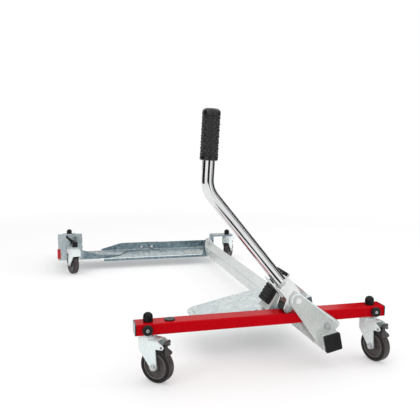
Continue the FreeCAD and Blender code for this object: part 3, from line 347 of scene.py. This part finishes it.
def shell(name, points, body, finish, wrap_rows=False, crease=35.0):
    """Mesh over a grid of points (rows, columns, 3); columns close round, and rows may."""
    rows, columns = points.shape[:2]
    index = np.arange(rows * columns).reshape(rows, columns)
    index = np.hstack([index, index[:, :1]])
    if wrap_rows:
        index = np.vstack([index, index[:1]])
    corners = [index[:-1, :-1], index[:-1, 1:], index[1:, 1:], index[1:, :-1]]
    quads = np.stack(corners, axis=-1).reshape(-1, 4)
    mesh = bpy.data.meshes.new(name)
    mesh.from_pydata(points.reshape(-1, 3).tolist(), [], quads.tolist())
    work = bmesh.new()
    work.from_mesh(mesh)
    bmesh.ops.remove_doubles(work, verts=work.verts, dist=SAME_SPOT)
    bmesh.ops.dissolve_degenerate(work, edges=work.edges, dist=SLIVER)
    bmesh.ops.recalc_face_normals(work, faces=work.faces)
    work.to_mesh(mesh)
    work.free()
    mesh.shade_smooth()
    mesh.set_sharp_from_angle(angle=math.radians(crease))
    mesh.materials.append(finish)
    piece = bpy.data.objects.new(name, mesh)
    bpy.context.scene.collection.objects.link(piece)
    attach(piece, body)
    return piece


def axes(origin, along, across):
    """Frame whose third axis runs along, and whose first axis leans to across."""
    along = np.asarray(along, float) / np.linalg.norm(along)
    side = np.asarray(across, float) - np.dot(across, along) * along
    side = side / np.linalg.norm(side)
    return np.stack([side, np.cross(along, side), along], axis=1), np.asarray(origin, float)


def put(points, place):
    """Points of a local frame, in the shared frame."""
    turn, origin = place
    return points @ turn.T + origin


def lathe(radius, height, steps):
    """Surface of revolution: radius may differ round the turn, height runs along the axis."""
    angle = np.arange(steps) * TURN / steps
    radius = np.broadcast_to(np.atleast_2d(radius.T).T, (len(height), steps))
    height = np.broadcast_to(height[:, None], (len(height), steps))
    return np.stack([radius * np.cos(angle), radius * np.sin(angle), height], axis=-1)


def stacked(height, middle, deep, wide, sides, corner=2.0):
    """Ovals stacked along the third axis, of half-depth deep about the middle and half-width wide.

    Cosine and sine are raised to 2 / corner: 2 leaves a plain oval, and more squares it off.
    """
    angle = np.arange(sides) * TURN / sides
    c, s = (np.sign(v) * np.abs(v) ** (2.0 / corner) for v in (np.cos(angle), np.sin(angle)))
    height, middle, deep, wide = (v[:, None] for v in (height, middle, deep, wide))
    return np.stack([middle + deep * c, wide * s, height + 0.0 * angle], axis=-1)


def spaced(corners, step):
    """Points every step or less along a chain of straight runs, and how far along each is."""
    corners = np.asarray(corners, float)
    runs = np.linalg.norm(np.diff(corners, axis=0), axis=1)
    marks = np.concatenate([[0.0], np.cumsum(runs)])
    along = np.linspace(0.0, marks[-1], max(3, int(marks[-1] / step) + 1))
    return np.stack([np.interp(along, marks, corners[:, i]) for i in range(3)], axis=1), along


# Lever grip: a sleeve with rows of raised lozenges between two plain collars, and a domed end

LEVER_FOOT = np.array([69.0, 0.0, 160.0]) * MM
LEVER_LEAN, LEVER_BEND = math.radians(39.5), math.radians(42.5)
LEVER_RUN = 324.0 * MM
ALONG_LEVER = np.array([-math.sin(LEVER_LEAN), 0.0, math.cos(LEVER_LEAN)])
ACROSS_LEVER = np.array([math.cos(LEVER_LEAN), 0.0, math.sin(LEVER_LEAN)])
GRIP_LEAN = LEVER_BEND - LEVER_LEAN
GRIP_START, GRIP_END, BORE_END = 62.0 * MM, 171.0 * MM, 164.1 * MM
GRIP_RADIUS, TUBE_RADIUS = 19.5 * MM, 13.55 * MM
GRIP_ROWS, GRIP_STEPS = 230, 256
COLLAR_LOW, COLLAR_HIGH, COLLAR_EDGE = 9.0 * MM, 15.0 * MM, 0.8 * MM
DOME_ROUND, FOOT_ROUND = 9.0 * MM, 3.0 * MM
LOZENGES_ROUND, LOZENGE_LONG = 10, 12.8 * MM
GROOVE_DEEP = 2.2 * MM
GROOVE_FLOOR, GROOVE_WALL = 0.04, 0.30  # shares of a lozenge


def lever_grip():
    """The plain sleeve's radius, less a groove where either family of crossing spirals passes."""
    elbow = LEVER_FOOT + LEVER_RUN * ALONG_LEVER
    along = np.array([math.sin(GRIP_LEAN), 0.0, math.cos(GRIP_LEAN)])
    height = np.linspace(GRIP_START, GRIP_END, GRIP_ROWS)
    round_turn = np.arange(GRIP_STEPS)[None, :] * LOZENGES_ROUND / GRIP_STEPS
    up_sleeve = (height[:, None] - GRIP_START) / LOZENGE_LONG
    raised = 1.0
    for spiral in (round_turn + up_sleeve, round_turn - up_sleeve):
        off = np.abs(spiral - np.round(spiral))
        raised = raised * smooth_step((off - GROOVE_FLOOR) / GROOVE_WALL)
    over_collar = smooth_step((height - GRIP_START - COLLAR_LOW) / COLLAR_EDGE)
    under_collar = smooth_step((GRIP_END - COLLAR_HIGH - height) / COLLAR_EDGE)
    plain = (GRIP_RADIUS - fall_away((height - GRIP_END) / DOME_ROUND + 1.0, DOME_ROUND)
             - fall_away((GRIP_START - height) / FOOT_ROUND + 1.0, FOOT_ROUND))
    patterned = over_collar * under_collar
    radius = plain[:, None] - GROOVE_DEEP * patterned[:, None] * (1 - raised)
    bore = np.full((1, GRIP_STEPS), TUBE_RADIUS)
    centre = np.zeros((1, GRIP_STEPS))
    radius = np.concatenate([centre, bore, bore, radius, centre])
    height = np.concatenate([[BORE_END, BORE_END, GRIP_START], height, [GRIP_END]])
    points = put(lathe(radius, height, GRIP_STEPS), axes(BEAM + elbow, along, RIGHT))
    piece = shell("grip_sleeve", points, "lever", GRIP_RUBBER, crease=50.0)
    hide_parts("lever_grip")


lever_grip()

# Castor wheels: grooved tyre round a shallow moulded disc with a raised hub and a rim bead

WHEEL_STEPS, DISH_STEPS, SHOULDER_STEPS = 128, 10, 9
BORE, HUB, RIM, TREAD = 4.05 * MM, 11.0 * MM, 26.0 * MM, 37.5 * MM
HUB_HALF, DISC_HALF, TYRE_HALF = 12.5 * MM, 8.0 * MM, 11.0 * MM
HUB_EDGE, HUB_DRAFT, HUB_FOOT = 0.8 * MM, 0.4 * MM, 1.6 * MM
DISH_IN, DISH_OUT, DISH_DEEP, DISH_RISE = 1.4 * MM, 1.6 * MM, 2.2 * MM, 1.6 * MM
SHOULDER = 5.0 * MM
BEAD_WIDE, DISC_EDGE, HAIR = 1.2 * MM, 2.0 * MM, 0.1 * MM
TREAD_GREY, TREAD_GREY_FROM, TREAD_GREY_BLEND = 0.8, 1.6 * MM, 0.8 * MM
# steps out from the rim and the tyre's face, or from the tread and its middle, in millimetres
BEAD_LINE = np.array([(-0.8, -1.6), (0.0, -0.9), (1.2, -0.9), (1.8, -1.8)])
WALL_LINE = np.array([(2.6, -1.6), (3.4, -0.3), (4.6, 0.0)])
TREAD_LINE = np.array([(0.0, 5.6), (-0.7, 5.3), (-0.7, 4.5), (0.0, 4.2), (0.0, 0.0)])


def wheel_profile():
    """Radius and half-width from the bore, over hub, dish, bead and wall, to the tread's middle."""
    turn = np.linspace(0.0, math.pi / 2, SHOULDER_STEPS)
    share = np.linspace(0.0, 1.0, DISH_STEPS)
    hub = np.array([(BORE, HUB_HALF), (HUB - HUB_EDGE, HUB_HALF), (HUB, HUB_HALF - HUB_EDGE),
                    (HUB + HUB_DRAFT, DISC_HALF - HUB_FOOT)])
    dish = np.stack([HUB + DISH_IN + (RIM - HUB - DISH_IN - DISH_OUT) * share,
                     DISC_HALF - DISH_DEEP + DISH_RISE * share ** 2], axis=1)
    face = (RIM, TYRE_HALF) + np.concatenate([BEAD_LINE, WALL_LINE]) * MM
    shoulder = np.stack([TREAD - SHOULDER + SHOULDER * np.sin(turn),
                         TYRE_HALF - SHOULDER + SHOULDER * np.cos(turn)], axis=1)
    tread = (TREAD, 0.0) + TREAD_LINE * MM
    return np.concatenate([hub, dish, face, shoulder, tread]).T


def castor_wheel(key):
    """The profile and its mirror image, turned round the axle; attributes mark disc and bead."""
    radius, half = wheel_profile()
    radius = np.concatenate([radius, radius[-2::-1]])
    height = np.concatenate([half, -half[-2::-1]])
    middle, axle = (np.asarray(joints["roll_" + key][row]) for row in ("pos_m", "axis"))
    points = put(lathe(radius, height, WHEEL_STEPS), axes(middle, axle, UP))
    piece = shell("tyre_" + key, points, "wheel_" + key, FINISHES["wheel_grey"],
                  wrap_rows=True, crease=32.0)
    spots = np.empty(len(piece.data.vertices) * 3)
    piece.data.vertices.foreach_get("co", spots)
    axle = axle / np.linalg.norm(axle)
    arm = spots.reshape(-1, 3) - middle
    out = np.linalg.norm(arm - np.outer(arm @ axle, axle), axis=1)
    tread_grey = TREAD_GREY * smooth_step((out - TREAD + TREAD_GREY_FROM) / TREAD_GREY_BLEND)
    # the bead mark carries the painted highlight along the rim bead; the grey mark is the disc and the grey tread
    marks = {"grey": np.where(out < RIM + DISC_EDGE, 1.0, tread_grey),
             "bead": (out > RIM - HAIR) & (out < RIM + BEAD_WIDE + HAIR)}
    for label, values in marks.items():
        layer = piece.data.attributes.new(label, "FLOAT", "POINT")
        layer.data.foreach_set("value", values.astype(np.float32))
    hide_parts("castor_%s_wheel" % key)


for key in CASTORS:
    castor_wheel(key)

# Brake rockers: two wide lobes joined by a narrow waist on the cross pin

ROCKER_RINGS, ROCKER_SIDES, ROCKER_CORNER = 72, 48, 2.5
SMOOTHINGS = 4
PIN_HALF, PIN_RADIUS, PIN_CHAMFER, PIN_STEPS = 16.0 * MM, 2.5 * MM, 0.5 * MM, 32
# height over the pin, inner face, outer face and half-width, in millimetres
ROCKER_SHAPE = np.array([
    (-20.0, 9.5, 9.5, 8.5), (-19.6, 7.8, 11.2, 9.8), (-19.0, 6.9, 12.1, 10.6),
    (-18.0, 6.0, 12.9, 11.3), (-16.0, 4.8, 13.5, 11.8), (-14.0, 3.5, 13.2, 11.6),
    (-12.0, 2.3, 12.2, 10.6), (-10.0, 1.0, 10.6, 8.8), (-8.0, -0.3, 8.8, 6.9),
    (-6.0, -1.5, 7.2, 5.3), (-4.0, -2.8, 6.2, 4.4), (-2.0, -3.9, 5.7, 4.1),
    (0.0, -4.4, 5.9, 4.3), (2.0, -4.0, 7.2, 5.2), (4.0, -2.7, 8.9, 6.8),
    (6.0, -1.4, 10.2, 8.5), (8.0, 0.0, 10.9, 9.5), (10.0, 1.4, 10.6, 9.7),
    (11.5, 2.6, 9.6, 9.0), (12.4, 4.0, 8.2, 8.0), (13.0, 6.0, 6.0, 6.6)])


def brake_rocker(key):
    """Squared ovals stacked over the height, each as deep and as wide as the table says there."""
    brake, swivel = joints["brake_" + key], joints["swivel_" + key]
    along = np.asarray(brake["pos_m"]) - np.asarray(swivel["pos_m"])
    along[2] = 0.0
    rows = np.arange(len(ROCKER_SHAPE))
    mark = np.linspace(0.0, rows[-1], ROCKER_RINGS)
    table = np.stack([np.interp(mark, rows, column) for column in ROCKER_SHAPE.T], axis=1)
    for _ in range(SMOOTHINGS):
        table[1:-1] = (table[:-2] + 2 * table[1:-1] + table[2:]) / 4
    up, inner, outer, wide = table.T * MM
    rings = stacked(up, (inner + outer) / 2, (outer - inner) / 2, wide, ROCKER_SIDES,
                    ROCKER_CORNER)
    piece = shell("rocker_" + key, put(rings, axes(brake["pos_m"], UP, along)), "brake_" + key,
                  ROCKER_GREY, crease=60.0)
    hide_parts("castor_%s_pedal" % key)
    end, edge = PIN_RADIUS - PIN_CHAMFER, PIN_HALF - PIN_CHAMFER
    radius = np.array([0.0, end, PIN_RADIUS, PIN_RADIUS, end, 0.0])
    height = np.array([-PIN_HALF, -PIN_HALF, -edge, edge, PIN_HALF, PIN_HALF])
    pin = put(lathe(radius, height, PIN_STEPS), axes(brake["pos_m"], brake["axis"], UP))
    shell("rocker_pin_" + key, pin, "brake_" + key, SHINY_BLACK)


for key in CASTORS:
    brake_rocker(key)

# Clamp arm on the near shelf's flange: a tapered bar on a round hub

CLAMP_HUB = np.array([-405.0, 1031.5, 117.0]) * MM
CLAMP_TIP = np.array([-423.0, 1031.5, 135.0]) * MM
CLAMP_RINGS, CLAMP_SIDES, CLAMP_HUB_STEPS = 40, 32, 48
CLAMP_ROUND, CLAMP_THICK, CLAMP_TAPER = 4.5 * MM, 4.8 * MM, 1.0 * MM
CLAMP_FLAT = 0.85
# radius and height of the hub's outline, in millimetres
CLAMP_HUB_LINE = np.array([(0.0, -5.5), (5.0, -5.5), (6.2, -4.5), (6.2, 4.5), (0.0, 4.5)])


def clamp_arm():
    """Ovals from hub to tip, drawn to a rounded end at both; the hub is a turned boss."""
    run = CLAMP_TIP - CLAMP_HUB
    length = np.linalg.norm(run)
    reach = np.linspace(-CLAMP_ROUND, length + CLAMP_ROUND, CLAMP_RINGS)
    past = np.clip(np.maximum(-reach, reach - length) / CLAMP_ROUND, 0.0, 1.0)
    thick = CLAMP_THICK - CLAMP_TAPER * np.clip(reach / length, 0.0, 1.0)
    size = np.sqrt(1 - past ** 2) * thick
    rings = stacked(reach, 0.0 * size, size, CLAMP_FLAT * size, CLAMP_SIDES)
    arm = put(rings, axes(BEAM + CLAMP_HUB, run, RIGHT + UP))
    shell("clamp_arm", arm, "stand", SHINY_BLACK, crease=60.0)
    radius, height = CLAMP_HUB_LINE.T * MM
    hub = put(lathe(radius, height, CLAMP_HUB_STEPS), axes(BEAM + CLAMP_HUB, FORWARDS, RIGHT))
    shell("clamp_hub", hub, "stand", SHINY_BLACK)


clamp_arm()

# Cradle: the spine tube's place and the sizes of what stands on it, in millimetres

SPINE_RIGHT, SPINE_UP, SPINE_HALF = 150.0, 61.0, 20.0
SPINE_TILT = math.radians(12.0)
PLATE_OUT, PLATE_IN = 26.0, 22.0
TRAY_TOP, TRAY_REAR, TRAY_FRONT, EAR_FACE = 68.0, 85.0, 250.0, 1030.0
STOP_LEFT, STOP_MIDDLE, STOP_PLATE = -102.0, 111.0, 2.5
STOP_SLOPE = 45.0  # degrees over the tray


def on_spine(across, y, up):
    """Beam coordinates of a point given across and over the tilted spine tube."""
    c, s = math.cos(SPINE_TILT), math.sin(SPINE_TILT)
    return SPINE_RIGHT + across * c - up * s, y, SPINE_UP + across * s + up * c


# Stop cushion: rubber on the sloped plate, with ribs across its outer face

STOP_FOOT = np.array(on_spine(STOP_LEFT, STOP_MIDDLE, TRAY_TOP)) * MM
STOP_LEAN = SPINE_TILT + math.radians(STOP_SLOPE)
STOP_LOW, STOP_HIGH = 14.0 * MM, 104.0 * MM
STOP_DEEP, STOP_HALF, STOP_EDGE = 14.0 * MM, 26.0 * MM, 4.0 * MM
RIB_PITCH, RIB_DEEP = 9.0 * MM, 2.6 * MM
RIB_VALLEY, PLAIN_END = 0.75, 0.9
CUSHION_ROWS, CUSHION_SIDES, CUSHION_CORNER = 271, 96, 7.0


def ribbed_stop():
    """Squared ovals stacked up the slope; the face sinks between ribs, and both ends are round."""
    up = np.linspace(STOP_LOW, STOP_HIGH, CUSHION_ROWS)
    near_end = np.minimum(np.minimum(up - STOP_LOW, STOP_HIGH - up) / STOP_EDGE, 1.0)
    rounded = fall_away(1 - near_end, STOP_EDGE)
    wave = np.abs(np.sin(math.pi * (up - STOP_LOW) / RIB_PITCH))
    ribbed = smooth_step((near_end - PLAIN_END) / (1 - PLAIN_END))
    sunk = RIB_DEEP * (1 - smooth_step(wave / RIB_VALLEY)) * ribbed
    deep = (STOP_DEEP - rounded - sunk) / 2
    rings = stacked(up, deep, deep, STOP_HALF - rounded, CUSHION_SIDES, CUSHION_CORNER)
    low, high = (np.broadcast_to((deep[i], 0.0, up[i]), (1, CUSHION_SIDES, 3)) for i in (0, -1))
    slope = np.array([math.cos(STOP_LEAN), 0.0, math.sin(STOP_LEAN)])
    out = np.array([-math.sin(STOP_LEAN), 0.0, math.cos(STOP_LEAN)])
    points = put(np.concatenate([low, rings, high]), axes(BEAM + STOP_FOOT, slope, out))
    piece = shell("stop_cushion", points, "cradle", FINISHES["black_rubber"],
                  crease=50.0)
    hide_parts("stop_pad")


ribbed_stop()

# Weld beads and pressed rims, given in beam coordinates

BEAD_SIDES, BEAD_STEP = 10, 0.7 * MM
BEAD_RIPPLE, BEAD_WANDER = 3.2 * MM, 917.0  # length of a ripple; radians per metre
BEAD_POINT = 1.5  # length of a drawn-out end, in radii
STEEP = 0.9  # rise of a run that is nearly upright
LUG_BEAD, WIDE_BEAD, FINE_BEAD = 2.4 * MM, 2.2 * MM, 1.8 * MM
STOP_BEAD, RIM_RADIUS, STRAP_BEAD = 1.6 * MM, 1.6 * MM, 1.4 * MM


def weld_bead(name, body, corners, radius=WIDE_BEAD, finish=WELD_FINISH, slot="zinc",
              closed=False, ripple=0.10):
    """Round rod along the seam, swelling at every ripple and drawn to a point at open ends."""
    path, along = spaced(corners, BEAD_STEP)
    if closed:
        path, along = path[:-1], along[:-1]
        ahead = np.roll(path, -1, axis=0) - np.roll(path, 1, axis=0)
        ends = 1.0
    else:
        ahead = np.gradient(path, axis=0)
        near_end = np.minimum(along, along[-1] - along)
        ends = np.sqrt(smooth_step(near_end / (BEAD_POINT * radius)))
    ahead = ahead / np.linalg.norm(ahead, axis=1, keepdims=True)
    side = np.cross(ahead, np.where(np.abs(ahead[:, 2:]) > STEEP, RIGHT, UP))
    side = side / np.linalg.norm(side, axis=1, keepdims=True)
    up = np.cross(side, ahead)
    swell = np.sin(along * TURN / BEAD_RIPPLE) + np.sin(along * BEAD_WANDER) / 2
    size = radius * ends * (1 + ripple * swell)
    angle = np.arange(BEAD_SIDES)[None, :, None] * TURN / BEAD_SIDES
    ring = np.cos(angle) * side[:, None, :] + np.sin(angle) * up[:, None, :]
    points = BEAM + path[:, None, :] + size[:, None, None] * ring
    shell(name, points, body, finish, wrap_rows=closed, crease=80.0)


def seam(name, body, corners, **options):
    """Weld bead through corners in millimetres."""
    weld_bead(name, body, np.array(corners) * MM, **options)


BEAD_SHORT = 3.0
STOP_BEAD_ENDS = (-88.0, 14.0)


def cradle_beads():
    """Fork plates, gussets, stop and front ear, all welded to the spine tube or the tray."""
    edge, inner = SPINE_HALF, SPINE_HALF - BEAD_SHORT
    faces = {"rear_out": -PLATE_OUT, "rear_in": -PLATE_IN,
             "front_in": PLATE_IN, "front_out": PLATE_OUT}
    for label, y in faces.items():
        side = [on_spine(-edge, y, -inner), on_spine(-edge, y, inner)]
        top = [on_spine(-inner, y, edge), on_spine(inner, y, edge)]
        seam("plate_bead_" + label, "cradle", side, radius=FINE_BEAD)
        seam("plate_top_bead_" + label, "cradle", top, radius=FINE_BEAD)
    for label, y in (("rear", TRAY_REAR), ("front", TRAY_FRONT), ("ear", EAR_FACE)):
        top = [on_spine(-inner, y, edge), on_spine(inner, y, edge)]
        seam("gusset_bead_" + label, "cradle", top)
    for label, y in (("near", STOP_MIDDLE - STOP_PLATE), ("far", STOP_MIDDLE + STOP_PLATE)):
        ends = [on_spine(across, y, TRAY_TOP) for across in STOP_BEAD_ENDS]
        seam("stop_bead_" + label, "cradle", ends, radius=STOP_BEAD)


def rim_disc(across, up, radius, right=0.0, higher=0.0):
    """X, Z and radius of a disc in the fork plate, from its place over the spine."""
    x, _, z = on_spine(across, 0.0, up)
    return x + right, z + higher, radius


# the left foot, the round over the lever bolt, the heel and the right foot
RIM_DISCS = np.array([rim_disc(-15.0, -10.0, 0.0),
                      (LEVER_FOOT[0] / MM, LEVER_FOOT[2] / MM, 14.0),
                      rim_disc(20.0, 20.0, 5.0, right=-2.0, higher=13.0),
                      rim_disc(14.0, 21.5, 0.0)])
# directions that the rim faces, from the left foot over the top to the right one
RIM_FACING = np.radians(np.linspace(205.0, -20.0, 451))
RIM_STEP = 0.01


def plate_rims():
    """Pressed rim inside each fork plate's edge: the outline round the four discs."""
    out = np.stack([np.cos(RIM_FACING), np.sin(RIM_FACING)], axis=1)
    furthest = RIM_DISCS[np.argmax(out @ RIM_DISCS[:, :2].T + RIM_DISCS[:, 2], axis=1)]
    line = furthest[:, :2] + furthest[:, 2:] * out
    moved = np.linalg.norm(np.diff(line, axis=0), axis=1) > RIM_STEP
    line = line[np.concatenate([[True], moved])]
    # the rims take the paler fork finish: a painted highlight along each plate's edge
    for label, y in (("rear", -PLATE_OUT), ("front", PLATE_OUT)):
        seam("plate_rim_" + label, "cradle", np.insert(line, 1, y, axis=1), radius=RIM_RADIUS,
             finish=FORK_ZINC, ripple=0.0)


LUG_LEFT, LUG_RIGHT, LUG_HALF, LUG_TOP = 127.0, 159.0, 18.0, 105.0
SHELF_FOOT = [(171.0, 1087.0, 41.7), (149.0, 1087.0, 41.7),
              (149.0, 1143.0, 41.7), (171.0, 1143.0, 41.7)]


def chassis_beads():
    """The painted lug under the beam, and the right-hand shelf's foot on the channel floor."""
    for label, x in (("left", LUG_LEFT), ("right", LUG_RIGHT)):
        ends = [(x, -LUG_HALF, LUG_TOP), (x, LUG_HALF, LUG_TOP)]
        seam("lug_bead_" + label, "chassis", ends, radius=LUG_BEAD,
             finish=FINISHES["red_paint"], slot="red_paint")
    seam("right_shelf_bead", "chassis", SHELF_FOOT, radius=FINE_BEAD)


FLANGE_LEFT, FLANGE_RIGHT = -423.0, -367.0
FLANGE_FACE, FLANGE_LOW, FLANGE_HIGH = 1040.0, 114.0, 133.0


def stand_beads():
    """The near shelf's flange on the tall end plate."""
    for label, x in (("left", FLANGE_LEFT), ("right", FLANGE_RIGHT)):
        ends = [(x, FLANGE_FACE, FLANGE_LOW), (x, FLANGE_FACE, FLANGE_HIGH)]
        seam("near_shelf_bead_" + label, "stand", ends, radius=FINE_BEAD)


SOCKET_TOP, SOCKET_ROUND, SOCKET_CORNERS = 48.0 * MM, 14.0 * MM, 61
STRAP_LEFT, STRAP_HALF = 18.0 * MM, 11.0 * MM
STRAP_LOW, STRAP_HIGH = 22.0 * MM, 46.0 * MM


def lever_beads():
    """A ring where the lever tube enters its socket, and the strap's two edges."""
    angle = np.linspace(0.0, TURN, SOCKET_CORNERS)[:, None]
    out = np.cos(angle) * ACROSS_LEVER + np.sin(angle) * FORWARDS
    ring = LEVER_FOOT + SOCKET_TOP * ALONG_LEVER + SOCKET_ROUND * out
    weld_bead("socket_bead", "lever", ring, closed=True)
    for label, y in (("near", -STRAP_HALF), ("far", STRAP_HALF)):
        foot = LEVER_FOOT - STRAP_LEFT * ACROSS_LEVER + y * FORWARDS
        ends = [foot + STRAP_LOW * ALONG_LEVER, foot + STRAP_HIGH * ALONG_LEVER]
        weld_bead("strap_bead_" + label, "lever", ends, radius=STRAP_BEAD)


cradle_beads()
plate_rims()
chassis_beads()
stand_beads()
lever_beads()

# Floor, light and camera

FLOOR_HALF = 14.0
FADE_FROM, FADE_TO, FADE_LEAST = 1.3, 2.4, 0.35
PAPER, WHITE = (0.97, 0.97, 0.97, 1.0), (1.0, 1.0, 1.0, 1.0)
EVEN_LIGHT = 0.80


def paper_floor():
    """Pale paper: takes the shadow near the object and fades to plain white further out."""
    material = bpy.data.materials.new("paper_floor")
    f = Shading(material)
    f.tree.nodes.clear()
    place = f.add("ShaderNodeTexCoord").outputs["Object"]
    away = f.add("ShaderNodeVectorMath", {0: place}, operation="LENGTH").outputs["Value"]
    links = {"Value": away, "From Min": FADE_FROM, "From Max": FADE_TO, "To Min": FADE_LEAST}
    fade = f.add("ShaderNodeMapRange", links, interpolation_type="SMOOTHSTEP").outputs["Result"]
    paper = f.add("ShaderNodeBsdfDiffuse", {"Color": PAPER}).outputs[0]
    white = f.add("ShaderNodeEmission", {"Color": WHITE}).outputs[0]
    links = {"Fac": f.combined("MULTIPLY", fade, f.seen()), 1: paper, 2: white}
    mix = f.add("ShaderNodeMixShader", links).outputs[0]
    f.add("ShaderNodeOutputMaterial", {"Surface": mix})
    return material


def studio_world():
    """Even light from all round; the camera and mirrors see plain white."""
    world = bpy.data.worlds.new("studio")
    bpy.context.scene.world = world
    f = Shading(world)
    f.tree.nodes.clear()
    even, white = (f.add("ShaderNodeBackground", {"Color": WHITE, "Strength": light}).outputs[0]
                   for light in (EVEN_LIGHT, 1.0))
    mix = f.add("ShaderNodeMixShader", {"Fac": f.seen(), 1: even, 2: white}).outputs[0]
    f.add("ShaderNodeOutputWorld", {"Surface": mix})


def flat_sheet(name, centre, right, up, material):
    """Four-cornered sheet about its centre, given half its width and half its height."""
    centre, right, up = (np.asarray(v, float) for v in (centre, right, up))
    corners = [centre - right - up, centre + right - up, centre + right + up, centre - right + up]
    mesh = bpy.data.meshes.new(name)
    mesh.from_pydata([tuple(c) for c in corners], [], [(0, 1, 2, 3)])
    mesh.materials.append(material)
    sheet = bpy.data.objects.new(name, mesh)
    bpy.context.scene.collection.objects.link(sheet)
    return sheet


floor = flat_sheet("floor", 0.0 * UP, FLOOR_HALF * RIGHT, FLOOR_HALF * FORWARDS, paper_floor())
studio_world()


def aim(name, data, turn, origin):
    """Lamp or camera at the origin, turned by the three columns of turn."""
    thing = bpy.data.objects.new(name, data)
    bpy.context.scene.collection.objects.link(thing)
    matrix = np.eye(4)
    matrix[:3, :3] = turn
    matrix[:3, 3] = origin
    thing.matrix_world = Matrix(matrix.tolist())
    return thing


LIT_MIDDLE = BEAM + (-0.05, 0.55, 0.15)
# place from the lit middle, size and watts
SOFTBOXES = {
    "overhead_softbox": ((0.3, 0.0, 2.4), (3.2, 3.2), 18.0),
    "left_softbox": ((-2.4, -1.6, 1.6), (0.6, 0.9), 10.0),
    "right_softbox": ((2.4, -0.8, 1.2), (0.6, 1.0), 11.0),
}
for name, (away, size, watts) in SOFTBOXES.items():
    lamp = bpy.data.lights.new(name, "AREA")
    lamp.shape = "RECTANGLE"
    lamp.size, lamp.size_y = size
    lamp.energy = watts
    aim(name, lamp, *axes(LIT_MIDDLE + away, away, RIGHT))

FLAG_BLACK = Finish("flag_black", Base_Color=(0.02, 0.02, 0.022, 1.0), Roughness=1.0,
                    Specular_IOR_Level=0.0).material
# black studio flags, which only bright metal mirrors: centre, half-width and half-height;
# the three lying on the floor are painted reflections, dark patches where nothing stands
FLAGS = {
    "left_flag": ((-1.9, 0.4, 0.9), (0.0, 1.1, 0.0), (0.0, 0.0, 0.85)),
    "right_flag": ((1.9, 0.2, 0.8), (0.0, 0.9, 0.0), (0.0, 0.0, 0.75)),
    "rear_flag": ((-0.2, -3.2, 0.35), (1.1, 0.0, 0.0), (0.0, 0.0, 0.32)),
    "far_flag": ((-0.2, 4.5, 0.75), (2.6, 0.0, 0.0), (0.0, 0.0, 0.42)),
    "edge_flag": ((1.9, 2.0, 0.7), (0.42, -0.38, 0.0), (0.0, 0.0, 0.7)),
    "line_flag": ((2.4, -1.7, 0.85), (0.16, 0.22, 0.0), (0.0, 0.0, 0.85)),
    "floor_flag": ((-0.20, 0.08, 0.002), (0.045, 0.0, 0.0), (0.0, 0.11, 0.0)),
    "apron_flag": ((0.14, -0.37, 0.0015), (0.48, 0.0, 0.0), (0.0, 0.09, 0.0)),
    "strip_flag": ((-0.09, -0.44, 0.002), (-0.13, -0.21, 0.0), (0.10, -0.06, 0.0)),
}
for name, (centre, right, up) in FLAGS.items():
    flag = flat_sheet(name, BEAM + centre, right, up, FLAG_BLACK)
    flag.visible_camera = flag.visible_diffuse = False
    flag.visible_shadow = flag.visible_transmission = False

EYE = np.array([-0.43283, -1.12845, 0.51864])
YAW, PITCH, ROLL = 0.262215, 0.129808, 0.009066
FOCAL_PIXELS, FRAME_PIXELS, SENSOR = 550.0, 420.0, 36.0
NEAREST, FURTHEST = 0.05, 60.0


def photo_camera():
    """Camera at the fitted eye, turned right by yaw, down by pitch and rolled on its own axis."""
    level = math.cos(PITCH)
    ahead = np.array([math.sin(YAW) * level, math.cos(YAW) * level, -math.sin(PITCH)])
    right = np.cross(ahead, UP)
    right = right / np.linalg.norm(right)
    up = np.cross(right, ahead)
    right, up = (math.cos(ROLL) * right + math.sin(ROLL) * up,
                 math.cos(ROLL) * up - math.sin(ROLL) * right)
    lens = bpy.data.cameras.new("photo_camera")
    lens.sensor_width = SENSOR
    lens.lens = SENSOR * FOCAL_PIXELS / FRAME_PIXELS
    lens.clip_start, lens.clip_end = NEAREST, FURTHEST
    turn = np.stack([right, up, -ahead], axis=1)
    bpy.context.scene.camera = aim("photo_camera", lens, turn, BEAM + EYE)


photo_camera()
bpy.context.scene.view_settings.view_transform = "Standard"
